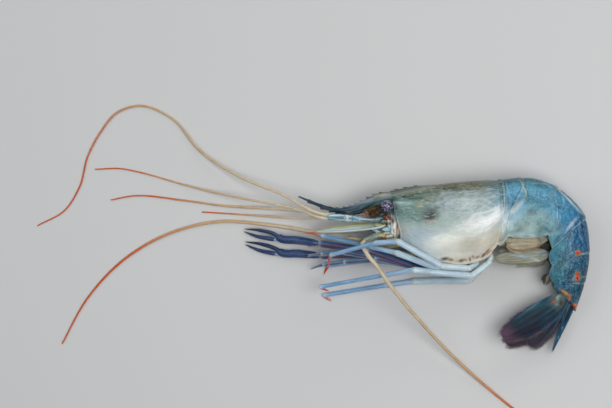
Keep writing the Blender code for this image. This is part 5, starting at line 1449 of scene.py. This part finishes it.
# Bases: level and lane of the root on the face, joints and thicknesses.
ANTENNULE = (
    0.2, 3.1, ((-43.5, 1.9, 3.5), (-50.0, 2.4, 3.6), (-58.6, 3.2, 3.7)), (1.75, 1.75, 1.9, 1.75, 1.95)
)
ANTENNA = (-7.1, 4.2, ((-35.6, -7.0, 6.2), (-40.2, -9.3, 8.2)), (2.0, 2.0, 2.0, 2.45))
BASE_NECK = 0.9
FEELER_NECK = 0.8
# Feelers: half thickness at the root and at the tip, offset of the root, and route.
FEELERS = {
    "antennule_outer_left": (0.85, 0.3, 1.0, (
        (-82.5, 14.8, 12.0), (-102.0, 22.8, 6.0), (-123.0, 36.5, 1.2), (-137.0, 52.5, 0.0),
        (-154.0, 59.0, 0.0), (-164.0, 56.0, 0.0), (-173.5, 45.0, 0.0), (-179.5, 33.5, 0.0),
        (-183.5, 18.5, 0.0), (-191.0, 6.5, 0.0), (-205.0, -1.5, 0.0),
    )),
    "antennule_inner_left": (0.7, 0.3, -1.0, (
        (-74.5, 7.0, 14.5), (-101.0, 12.2, 7.0), (-118.5, 16.0, 2.2), (-135.5, 20.5, 0.0),
        (-152.5, 25.3, 0.0), (-163.0, 27.3, 0.0), (-176.0, 27.0, 0.0),
    )),
    "antennule_outer_right": (0.85, 0.3, 1.0, (
        (-74.0, 6.2, 7.0), (-91.5, 7.4, 2.2), (-110.0, 8.5, 0.0), (-132.5, 11.5, 0.0),
        (-157.5, 13.5, 0.0), (-168.0, 11.5, 0.0),
    )),
    "antennule_inner_right": (0.7, 0.3, -1.0, (
        (-73.0, 2.4, 6.4), (-90.0, 3.4, 1.2), (-105.0, 4.4, 0.0), (-122.0, 5.5, 0.0),
    )),
    "antenna_left": (1.1, 0.35, 0.0, (
        (-39.6, -14.6, 25.4), (-35.0, -20.5, 25.6), (-27.6, -31.0, 22.6), (-14.0, -47.5, 14.0),
        (8.5, -71.0, 3.4), (22.5, -83.5, 0.6), (33.5, -92.5, 0.0), (50.0, -104.5, 0.0),
        (70.0, -114.5, 0.0), (92.5, -119.5, 0.0),
    )),
    "antenna_right": (1.1, 0.35, 0.0, (
        (-46.5, -10.6, 4.6), (-54.0, -9.0, 3.2), (-64.5, -5.4, 1.6), (-89.0, -1.0, 0.2),
        (-115.0, 0.5, 0.0), (-140.0, -6.0, 0.0), (-162.5, -19.5, 0.0), (-180.0, -38.5, 0.0),
        (-192.5, -61.0, 0.0),
    )),
}
FEELER_FLAT = math.cos(math.pi / 6)
FEELER_ROWS = 500
FEELER_SIDES = 10
RING_SPACING = 0.62
# A ring of a feeler: share of its length, thickness and darkness there.
RING = np.array([(0.0, 0.93, 0.3), (0.3, 1.02, 0.0), (0.75, 1.0, 0.0)])
STRAW, SAND, ORANGE = colour(214, 202, 176), colour(200, 168, 126), colour(206, 86, 0)


def make_feeler(name, base_tip, direction, orange_from, *nodes):
    """A ringed feeler on the tip of its base, orange from a share of its length on."""
    start, end, root_across, route = FEELERS[name]
    across = unit(np.array([-direction[1], direction[0], 0.0]))
    across = across if across[1] > 0 else -across
    root = base_tip + direction * GAP + across * root_across
    thickness = [start + (end - start) * i / len(route) for i in range(1, len(route) + 1)]
    points = [root, root + direction * FEELER_NECK]
    points += [np.array([x, y, low + size * FEELER_FLAT]) for (x, y, low), size in zip(route, thickness)]
    fine, reached = smooth_path(points, FEELER_ROWS)
    rings = int(reached[-1] / RING_SPACING)
    share = np.append((np.arange(rings)[:, None] + RING[:, 0]).ravel() / rings, 1.0)
    swell, dark = (np.append(np.tile(RING[:, column], rings), last) for column, last in ((1, 0.4), (2, 0.0)))
    sizes = (start + (end - start) * share) * swell
    sizes[0] *= 0.8
    rows = sweep(along_path(fine, reached, share * reached[-1]), sizes, sizes, circle(FEELER_SIDES))
    paint = mixed(STRAW, SAND, smooth(share, 0.0, orange_from))
    paint = mixed(paint, ORANGE, smooth(share, orange_from * 0.8, orange_from + 0.25))
    shape = Shape()
    add_ball(shape, root - direction * (GAP + 0.3), start * 1.25, STRAW, direction, 1.2)
    add_rows(shape, rows, mixed(paint, paint * 0.55, dark))
    shape.build(f"{name}_rings", (FEELER,), "feeler", *nodes)


LEAF_COLUMNS = 26


def leaf_profile(count, ribs):
    """Outline of a thin leaf's section with raised ribs. ribs are (place across, width, height)."""
    u = -np.cos(np.linspace(0, math.pi, count))
    height = 0.34 + 0.12 * np.sqrt(np.maximum(0, 1 - u**2))
    for centre, width, rise in ribs:
        height = height + rise * bell(u, centre, width)
    height = height * np.sqrt(np.clip(1.02 - np.abs(u) ** 8, 0.02, 1.0))
    top, low = np.stack([u, height], axis=1), np.stack([u[::-1], -height[::-1]], axis=1)
    return np.concatenate([top, low[1:-1]])


def add_leaf(
    shape, root, square, tip, flat, half_width, root_share, widest, thickness, ribs, tint_of, cup, count,
    fringe, ripple=0.0, patches=(), streak=0.5,
):
    """A leaf as in the solids, finer, with ribs, and colours from tint_of(share, across).

    fringe is where its hairs start, their length, number for each millimetre, colour and lean to the tip.
    """
    flat, length = unit(flat), np.linalg.norm(tip - root)
    elbow = root + square * length * 0.2
    share = np.sin(np.linspace(0, math.pi / 2, count))
    growth = root_share + (1 - root_share) * np.sin(math.pi / 2 * np.minimum(share / widest, 1.0))
    ending = np.sqrt(np.maximum(0.0, 1 - (np.maximum(share - widest, 0) / (1 - widest)) ** 2.4))
    width = np.maximum(half_width * np.where(share < widest, growth, ending), 0.35)
    s = share[:, None]
    path = root * (1 - s) ** 2 + elbow * 2 * s * (1 - s) + tip * s**2
    profile = leaf_profile(LEAF_COLUMNS, ribs)
    rows = sweep(path, width, thickness * (1 - 0.45 * share), profile, flat, cup)
    across, thick = frames(path, flat)
    wave = ripple * np.sin(share * 34)[:, None, None] * np.abs(profile[None, :, :1]) ** 2
    rows = rows + thick[:, None, :] * wave
    tints, streak = patched(rows, tint_of(s, profile[None, :, 0]), streak, patches)
    grain = np.zeros(rows.shape)
    grain[..., 0] = s * length
    grain[..., 1] = profile[None, :, 0] * half_width + root[2] * 3
    add_rows(shape, rows, tints, grain=grain, streak=streak)
    first, hair_length, density, hair_tint, lean = fringe
    number = int(density * length * (1 - first))
    for edge in (-1, 1):
        at_share = np.minimum(first + (1 - first) * np.sqrt(RANDOM.uniform(0, 1, number)), 0.999)
        side = along_path(across, share, at_share) * edge
        half = np.interp(at_share, share, width)[:, None]
        sharpness = smooth(at_share, 0.75, 1.0)[:, None]
        out = unit(side * (1 - sharpness * 0.5) + unit(tip - root) * (lean + sharpness * 1.2))
        roots = along_path(path, share, at_share) + side * half * 0.96 + thick[0] * (cup * half)
        ways = out + RANDOM.normal(0, 0.12, (number, 3))
        lengths = hair_length * RANDOM.uniform(0.7, 1.15, number)
        add_hairs(shape, roots, ways, lengths, FRINGE_HAIR, hair_tint, look=1)


# The flat blade beside each antenna
SCALE_LEVEL = -3.2
SCALE_LATERAL = 5.0
SCALE_TIP = (-64.5, -4.3, 9.8)
SCALE_HALF_WIDTH = 3.9
SCALE_FLAT = (0.0, 0.91, 0.41)
SCALE_FRINGE = (0.25, 2.0, 9.0, colour(190, 170, 120), 0.9)


def layered(paint, *layers):
    """Mixes colours over paint, each given with its share."""
    for shade, share in layers:
        paint = mixed(paint, shade, share)
    return paint


def scale_tint(side):
    def tint(share, across):
        inner = across * side + 0 * share
        return layered(
            colour(196, 210, 168),
            (colour(190, 220, 232), smooth(inner, 0.3, -0.3)),
            (colour(150, 156, 110), bell(inner, 0.8, 0.14)),
            (colour(236, 240, 232), 0.9 * bell(inner, 0.1, 0.16)),
            (colour(70, 130, 158), 0.7 * bell(inner, -0.45, 0.08) + 0.3 * smooth(share, 0.75, 1.0)),
            (colour(232, 238, 236), 0.9 * bell(inner, -0.75, 0.12)),
            (colour(190, 150, 84), smooth(share, 0.1, 0.0) * 0.8),
        )

    return tint


BASE_SIDES = 40
BASE_TURN = np.linspace(0, 1, BASE_SIDES, endpoint=False)[None]
BASE_STOPS = np.union1d(SEGMENT_STOPS, np.linspace(0.1, 0.9, 17))
BASE_SIZES = np.interp(BASE_STOPS, SEGMENT_STOPS, SEGMENT_SIZES)
BASE_CYAN, BASE_OLIVE, BASE_PALE = colour(86, 140, 160), colour(124, 138, 122), colour(170, 188, 182)
# Thin lines on the antennule's base: the pixels that they pass, half width, colour and strength.
PEDUNCLE_LINES = (
    (((328, 215.5), (342, 215), (352, 216.5)), 0.8, (216, 232, 238), 0.9),
    (((330, 217.5), (343, 218), (352, 219)), 0.8, (40, 92, 116), 0.85),
    (((332, 220.5), (345, 220), (356, 221)), 0.8, (196, 214, 220), 0.8),
    (((340, 213), (352, 213.4), (362, 215)), 0.7, (96, 140, 156), 0.7),
    (((349, 213.5), (347, 218), (348, 222)), 0.9, (206, 206, 196), 0.8),
    (((353, 215), (352, 219), (353, 222)), 0.8, (56, 104, 122), 0.8),
    (((357, 218), (368, 219.5), (380, 219.5)), 0.8, (186, 208, 212), 0.8),
    (((358, 216), (368, 217), (378, 217)), 0.9, (24, 66, 84), 0.85),
    (((355, 222), (366, 222.5), (378, 222)), 0.8, (184, 158, 112), 0.8),
    (((360, 220.6), (370, 221.4), (380, 221)), 0.5, (40, 84, 96), 0.8),
)
PEDUNCLE_PATCHES = (((333, 221.5), (6.0, 0.8), 0, (190, 180, 160), 0.7, 0), *line_patches(PEDUNCLE_LINES))


def add_base(shape, points, radii, tint, patches):
    """The thick jointed base of a feeler."""
    for number, (start, end) in enumerate(zip(points, points[1:])):
        sizes = BASE_SIZES * radii[number]
        path = start + (end - start) * BASE_STOPS[:, None]
        rows = sweep(path, sizes, sizes * 0.94, circle(BASE_SIDES))
        paint = limb_tint(tint, BASE_PALE, None, BASE_STOPS[:, None], BASE_TURN)
        paint, streak = patched(rows, paint, 0.9, patches)
        add_rows(shape, rows, paint, streak=streak)
        if number:
            add_ball(shape, start, radii[number - 1] * BALL_SHARE, BASE_PALE * 0.8, end - start)


def make_feelers():
    for side_name, side in SIDES:
        patches = PEDUNCLE_PATCHES if side > 0 else ()
        for name, (level, lateral, places, radii), base in (
            ("antennule", ANTENNULE, BASE_CYAN), ("antenna", ANTENNA, BASE_OLIVE),
        ):
            root, forward = face_root(level, side * lateral)
            points = [root, root + forward * BASE_NECK, *head_points(places, side)]
            shape = Shape()
            add_base(shape, points, radii, base, patches)
            if name == "antennule":
                foot = points[1] + np.array([0.0, 0.3, side * radii[1] * 0.8])
                way, spine = points[2] - points[1] + np.array([0, 0, side * 2.0]), 6.0
            else:
                foot = points[-1] + np.array([0.5, -1.2, side * 1.4])
                way, spine = np.array([-1.0, -0.5, side * 0.3]), 2.0
            add_spine(shape, foot, way, spine, 0.5, base, BASE_PALE)
            shape.build(f"{name}_{side_name}_base", (LIMB,), "limb_blue", f"{name}_{side_name}")
            direction = unit(points[-1] - points[-2])
            if name == "antennule":
                for part, orange_from in (("outer", 0.6), ("inner", 0.7)):
                    feeler = f"antennule_{part}_{side_name}"
                    make_feeler(feeler, points[-1], direction, orange_from, feeler)
            else:
                feeler = f"antenna_{side_name}"
                make_feeler(feeler, points[-1], direction, 0.5, f"{feeler}_1", f"{feeler}_2")
        root, forward = face_root(SCALE_LEVEL, side * SCALE_LATERAL)
        (tip,) = head_points((SCALE_TIP,), side)
        flat, ribs = (*SCALE_FLAT[:2], side * SCALE_FLAT[2]), ((0.0, 0.08, 0.3), (-0.7 * side, 0.08, 0.25))
        node = f"antenna_scale_{side_name}"
        shape = Shape()
        add_leaf(
            shape, root, forward, tip, flat, SCALE_HALF_WIDTH, 0.35, 0.45, 1.0, ribs, scale_tint(side),
            0.12 * side, 46, SCALE_FRINGE,
        )
        shape.build(f"{node}_blade", (LIMB, FRINGE), "limb_blue", node)


# Tail fan

TELSON_TIP = (54.7, -64.0, 5.2)
TELSON_LEVEL = 1.8
TELSON_SIZES = ((3.3, 2.5), (3.3, 2.3), (2.8, 1.9), (2.1, 1.4), (1.3, 0.9), (0.5, 0.4))
TELSON_FLAT = (0.74, -0.36, 0.57)
TELSON_ROWS, TELSON_SIDES, TELSON_HAIRS = 60, 24, 120
TELSON_SPINE = (colour(120, 160, 180), colour(220, 210, 180))
# Blades of the fan: level and lane of the root, tip, direction of the thickness, and half width.
FAN = {
    "uropod_outer_left": (-3.4, 5.4, (28.5, -57.0, 15.0), (0.12, 0.2, 1.0), 6.8),
    "uropod_inner_left": (-3.4, 3.9, (42.5, -61.5, 11.4), (0.12, 0.1, 1.0), 5.5),
    "uropod_outer_right": (-3.4, -5.4, (31.5, -61.0, 0.5), (0.0, 0.0, 1.0), 6.8),
    "uropod_inner_right": (-3.4, -3.9, (44.5, -62.5, 2.6), (0.0, 0.0, 1.0), 5.5),
}
FAN_RIBS = ((0.0, 0.06, 0.45), (0.42, 0.05, 0.14), (-0.42, 0.05, 0.14), (0.72, 0.05, 0.1), (-0.72, 0.05, 0.1))
FAN_FRINGE = (0.45, 2.4, 16.0, colour(88, 70, 86), 1.1)
FAN_PATCHES = (
    ((556, 300), (6.0, 8.0), 30, (110, 116, 104), 0.6, 0.2),
    ((530, 302), (26.0, 1.6), 27, (44, 132, 196), 0.9, 0.1),
    ((516, 309), (8.0, 1.8), 27, (76, 162, 220), 0.85, 0),
    ((540, 305), (12.0, 4.0), 30, (16, 74, 92), 0.7, 0.3),
    ((530, 309), (14.0, 1.0), 36, (110, 164, 186), 0.6, 0.2),
    ((524, 318), (20.0, 6.0), 34, (14, 46, 58), 0.7, 0.2),
    ((532, 334), (12.0, 10.0), 0, (20, 20, 42), 0.8, 0.1),
    ((503, 334), (9.0, 9.0), 30, (92, 62, 84), 0.7, 0.1),
    ((515, 342), (9.0, 5.0), 0, (70, 44, 58), 0.6, 0.1),
)


def fan_tint(share, across):
    off = np.abs(across)
    rib = np.maximum(bell(off, 0.0, 0.08), 0.5 * bell(off, 0.42, 0.05))
    return layered(
        colour(12, 46, 62),
        (colour(14, 24, 42), smooth(share, 0.25, 0.7)),
        (colour(62, 44, 62), smooth(share, 0.82, 1.0) * 0.7),
        (colour(30, 86, 124), 0.5 * bell(off, 0.94, 0.08) * smooth(share, 0.95, 0.6)),
        (colour(34, 82, 104), 0.45 * rib * smooth(share, 0.92, 0.5)),
    )


def make_telson():
    """The pointed middle of the fan, with small spines on its back and at its tip."""
    root, _ = tail_root(TELSON_LEVEL, 0.0)
    tip = np.array(TELSON_TIP)
    share = np.linspace(0.0, 1.0, TELSON_ROWS)
    path = root + (tip - root) * share[:, None]
    sizes = curve(TELSON_SIZES, share * (len(TELSON_SIZES) - 1))
    sizes[0] *= 0.85
    turn = np.linspace(0, 2 * math.pi, TELSON_SIDES, endpoint=False)
    profile = np.stack([np.cos(turn), np.sin(turn) * np.where(np.sin(turn) > 0, 1.0, 0.9)], axis=1)
    profile[:, 1] += 0.14 * bell(turn, math.pi / 2, 0.3)
    blue = mixed(colour(8, 50, 70), colour(14, 72, 108), smooth(share, 0.2, 0.8))
    streak = bell(turn, math.pi * 0.62, 0.3)[None] * smooth(share, 0.02, 0.2)[:, None]
    shape = Shape()
    rows = sweep(path, sizes[:, 0], sizes[:, 1], profile, TELSON_FLAT)
    add_rows(shape, rows, mixed(blue[:, None], colour(84, 140, 168), 0.6 * streak))
    across, thick = frames(path, TELSON_FLAT)
    for at_share in (0.52, 0.72):
        i = int(at_share * (TELSON_ROWS - 1))
        for edge in (-1, 1):
            foot = path[i] + across[i] * sizes[i, 0] * 0.6 * edge + thick[i] * sizes[i, 1] * 0.7
            add_spine(shape, foot, (tip - root) / 28 + thick[i] * 0.5, 1.2, 0.25, *TELSON_SPINE)
    for edge in (-1, -0.45, 0.45, 1):
        way = (tip - root) / 20 + across[-1] * 0.25 * edge
        add_spine(shape, tip + across[-1] * 0.4 * edge, way, 1.8, 0.2, *TELSON_SPINE)
    at_share = RANDOM.uniform(0.45, 1.0, TELSON_HAIRS)
    out = across[0] * RANDOM.choice([-1.0, 1.0], TELSON_HAIRS)[:, None]
    half = np.interp(at_share, share, sizes[:, 0])[:, None]
    roots = along_path(path, share, at_share) + out * half * 0.95
    ways = out + unit(tip - root) * 1.3 + RANDOM.normal(0, 0.15, (TELSON_HAIRS, 3))
    lengths = RANDOM.uniform(0.8, 1.6, TELSON_HAIRS)
    add_hairs(shape, roots, ways, lengths, THIN_HAIR, colour(150, 130, 110), look=1)
    shape.build("telson_shell", (BLADE_SHELL, FRINGE), "shell_blue", "telson")


def make_fan():
    for name, (level, lateral, tip, flat, half_width) in FAN.items():
        root, square = tail_root(level, lateral)
        shape = Shape()
        root_share = 0.55 if name == "uropod_outer_left" else 0.3
        add_leaf(
            shape, root, square, np.array(tip), flat, half_width, root_share, 0.62, 0.72, FAN_RIBS, fan_tint,
            0.05, 60, FAN_FRINGE, 0.08, FAN_PATCHES,
        )
        if "outer" in name:
            add_protopod(shape, root, 1 if lateral > 0 else -1)
        shape.build(f"{name}_blade", (TAIL_SHELL, FRINGE), "tail_blue", name)


# The pale wedge that carries two blades of the fan: offsets from their root, half width and half thickness.
PROTOPOD = (
    (2.0, 2.4, 1.2, 1.1), (0.8, 1.0, 2.2, 1.7), (-1.4, -1.2, 2.8, 1.8), (-3.2, -2.4, 2.3, 1.4),
    (-5.4, -3.2, 0.9, 0.7),
)
PROTOPOD_ROWS, PROTOPOD_SIDES = 26, 20
PROTOPOD_PATCHES = (
    ((552, 299), (7.0, 4.0), 20, (30, 72, 84), 0.8, 0.3),
    ((558.5, 297), (2.6, 4.0), 20, (168, 184, 188), 0.7, 0.4),
    ((557, 305), (2.4, 2.2), 20, (120, 150, 162), 0.6, 0.4),
    ((554, 298.4), (3.4, 1.0), 40, (214, 206, 190), 0.6, 0),
    ((561, 301), (1.4, 4.0), 10, (60, 54, 42), 0.8, 0.4),
    ((550, 302), (5.6, 1.3), 10, (206, 100, 20), 0.95, 0),
    ((547, 304), (2.4, 1.0), 40, (190, 84, 20), 0.9, 0),
)


def add_protopod(shape, root, side):
    """The wedge at the root of the fan's outer blade."""
    x, y, wide, thick = curve(PROTOPOD, np.linspace(0, len(PROTOPOD) - 1, PROTOPOD_ROWS)).T
    path = root + np.stack([x, y, np.full(PROTOPOD_ROWS, -0.2 * side)], axis=1)
    rows = sweep(path, wide, thick, circle(PROTOPOD_SIDES), (0.1, 0.1, 1.0))
    paint, streak = patched(rows, colour(78, 92, 88), 0.4, PROTOPOD_PATCHES if side > 0 else ())
    add_rows(shape, rows, paint, streak=streak)


# Swimmerets

# Place along the body, then lane from the middle plane, heading in degrees and length, each for the left and
# then the right, and half width.
SWIMMERETS = (
    (6.25, (6.2, -4.6), (-8, -8), (17.0, 17.0), 4.2),
    (8.7, (5.9, -5.4), (205, 209), (19.0, 18.0), 3.2),
    (10.3, (4.9, -5.6), (184, 200), (23.0, 16.0), 2.8),
    (11.55, (3.8, -4.2), (187, 204), (26.5, 12.0), 3.0),
    (12.5, (2.6, -2.4), (236, 236), (7.0, 7.0), 1.7),
)
# Colours of the leaf, the stripes and the dark edge, and the fringe's density.
SWIMMERET_LOOKS = (
    ((146, 138, 110), (178, 166, 134), (104, 60, 22), 9.0),
    ((104, 98, 76), (150, 146, 120), (76, 56, 34), 9.0),
    ((110, 116, 98), (164, 170, 150), (92, 58, 26), 12.0),
    ((112, 116, 98), (166, 172, 152), (98, 70, 36), 18.0),
    ((34, 28, 24), (80, 76, 62), (20, 16, 14), 26.0),
)
# Leaves of each swimmeret on the left: turn in degrees, share of the length, share of the width, and lift.
LEAVES = (
    ((3, 0.95, 1.12, 0.0), (-10, 0.7, 0.9, -0.5), (-34, 0.6, 0.9, -0.9)),
    ((4, 0.9, 0.95, 0.0), (-11, 0.72, 0.8, -0.5)),
    ((4, 1.0, 1.2, 1.2), (16, 0.7, 0.8, 0.5)),
    ((-2, 1.0, 1.2, 0.3), (13, 0.62, 0.8, -0.4), (-10, 0.9, 0.9, -0.9)),
    ((10, 0.7, 0.6, 0.0), (-11, 0.6, 0.5, -0.4)),
)
SWIMMERET_STEM = 1.6
SWIMMERET_CLEARANCE = 0.22
SWIMMERET_RIBS = tuple((u, 0.035, 0.1) for u in np.linspace(-0.75, 0.75, 9))
STEM_WIDTHS, STEM_THICKNESSES = np.array([0.4, 0.4, 0.44, 0.5, 0.3]), (0.7, 0.7, 0.8, 0.7, 0.4)
STEM_SIDES = 14
STEM_BLUE = colour(124, 162, 184)
SWIMMERET_PATCHES = (
    ((506, 243), (8.0, 1.0), 48, (150, 92, 38), 0.9, 0),
    ((530, 235), (9.0, 1.0), -24, (176, 120, 70), 0.5, 0),
    ((532, 249.6), (16.0, 1.0), 0, (116, 82, 42), 0.8, 0),
    ((519, 255.6), (12.0, 1.3), -12, (156, 192, 206), 0.85, 0),
    ((540, 262), (9.0, 1.2), -30, (160, 190, 200), 0.7, 0),
    ((500, 256), (7.0, 5.0), 30, (140, 146, 126), 0.6, 0.3),
)


def swimmeret_tint(look, stem):
    """The colours of a swimmeret's leaf. stem is how blue its middle is."""
    leaf, stripe, edge = (colour(*shade) for shade in look[:3])

    def tint(share, across):
        stripes = 0.5 + 0.5 * np.sin(across * 15 + share * 4)
        return layered(
            leaf,
            (edge, 0.45 * bell(share, 0.75, 0.2)),
            (stripe, 0.65 * stripes * smooth(share, 0.1, 0.35)),
            (edge, 0.8 * smooth(np.abs(across), 0.82, 0.98) + 0.5 * smooth(share, 0.93, 1.0)),
            (STEM_BLUE, stem * bell(across, 0.25, 0.12) * smooth(share, 0.8, 0.3)),
        )

    return tint


def heading_way(degrees):
    turned = math.radians(degrees)
    return np.array([math.cos(turned), math.sin(turned), 0.0])


def make_swimmerets():
    for number, (place, lanes, headings, lengths, half_width) in enumerate(SWIMMERETS):
        look = SWIMMERET_LOOKS[number]
        stem_blue, leaf_blue = (0.5, 0.4) if number > 1 else (0.0, 0.0)
        fringe = (0.15, 1.7, look[3], colour(*look[1]) * 0.8, 1.3)
        for (side_name, side), lane, heading, length in zip(SIDES, lanes, headings, lengths):
            root, square = underside(place, lane)
            root = root + square * SWIMMERET_CLEARANCE
            along = heading_way(heading)
            knee = root + square * SWIMMERET_STEM
            shape = Shape()
            stem = [root - square * 0.4, root, knee]
            stem += [knee + along * length * share for share in (0.16, 0.22)]
            rows = sweep(np.array(stem), half_width * STEM_WIDTHS, STEM_THICKNESSES, circle(STEM_SIDES), UP)
            add_rows(shape, rows, mixed(colour(*look[0]), STEM_BLUE, stem_blue))
            patches = SWIMMERET_PATCHES if side > 0 else ()
            for spread, size, wide, lift in LEAVES[number]:
                start = knee + along * length * 0.06 + np.array([0, 0, lift * side])
                tip = start + heading_way(heading + spread) * length * size
                add_leaf(
                    shape, start, along, tip, UP, half_width * wide, 0.5, 0.45, 0.34, SWIMMERET_RIBS,
                    swimmeret_tint(look, leaf_blue), 0.05 * side, 34, fringe, 0.05, patches, 0.7,
                )
            node = f"swimmeret_{number + 1}_{side_name}"
            shape.build(f"{node}_leaves", (FLESH, FRINGE), "membrane", node)


# Floor, light and camera

# Sizes and places of the stage are in metres.
FLOOR_HALF = 1.2
FLOOR_LEVEL = -0.00002
FLOOR_COLOUR, FLOOR_ROUGHNESS = (0.62, 0.63, 0.64, 1), 0.6
SKY_COLOUR, SKY_STRENGTH = (0.9, 0.94, 1.0, 1), 0.2
CAMERA_HEIGHT = 1.8
MID_HEIGHT = 0.016
PHOTO_SIZE = (612, 408)
SENSOR = 36.0
LAMP_COLOUR = (1.0, 0.985, 0.96)
LAMP_AIM = Vector((0.0, 0.0, 0.01))
# Lamps: name, place, size, and power in watts.
LAMPS = (
    ("key", (0.3, -0.1, 0.85), 0.6, 5.0),
    ("fill", (-0.7, 0.3, 0.7), 0.9, 3.0),
    ("rim", (0.35, 0.75, 0.45), 0.5, 1.4),
)


def make_stage():
    mesh = bpy.data.meshes.new("floor")
    corners = [(x * FLOOR_HALF, y * FLOOR_HALF, FLOOR_LEVEL) for x, y in ((-1, -1), (1, -1), (1, 1), (-1, 1))]
    mesh.from_pydata(corners, [], [(0, 1, 2, 3)])
    paint = bpy.data.materials.new("floor_paint")
    paint.use_nodes = True
    shader = paint.node_tree.nodes["Principled BSDF"]
    shader.inputs["Base Color"].default_value = FLOOR_COLOUR
    shader.inputs["Roughness"].default_value = FLOOR_ROUGHNESS
    mesh.materials.append(paint)
    placed("floor", mesh)
    world = bpy.data.worlds.new("studio")
    world.use_nodes = True
    world.node_tree.nodes["Background"].inputs["Color"].default_value = SKY_COLOUR
    world.node_tree.nodes["Background"].inputs["Strength"].default_value = SKY_STRENGTH
    bpy.context.scene.world = world
    for name, place, size, power in LAMPS:
        lamp = bpy.data.lights.new(name, "AREA")
        lamp.shape = "SQUARE"
        lamp.size = size
        lamp.energy = power
        lamp.color = LAMP_COLOUR
        holder = placed(name, lamp)
        holder.location = place
        holder.rotation_euler = (LAMP_AIM - Vector(place)).to_track_quat("-Z", "Y").to_euler()
    centre_x = (PHOTO_SIZE[0] / 2 - ORIGIN_PIXEL[0]) * PIXEL_MM * MM
    centre_y = (ORIGIN_PIXEL[1] - PHOTO_SIZE[1] / 2) * PIXEL_MM * MM
    camera_data = bpy.data.cameras.new("camera")
    camera_data.sensor_width = SENSOR
    camera_data.lens = SENSOR * (CAMERA_HEIGHT - MID_HEIGHT) / (PHOTO_SIZE[0] * PIXEL_MM * MM)
    camera = placed("camera", camera_data)
    camera.location = (centre_x, centre_y, CAMERA_HEIGHT)
    bpy.context.scene.camera = camera
    bpy.context.scene.view_settings.view_transform = "Standard"


make_stage()
make_shell()
make_face()
make_eyes()
make_feelers()
make_legs()
make_arms()
make_mouth()
make_telson()
make_fan()
make_swimmerets()
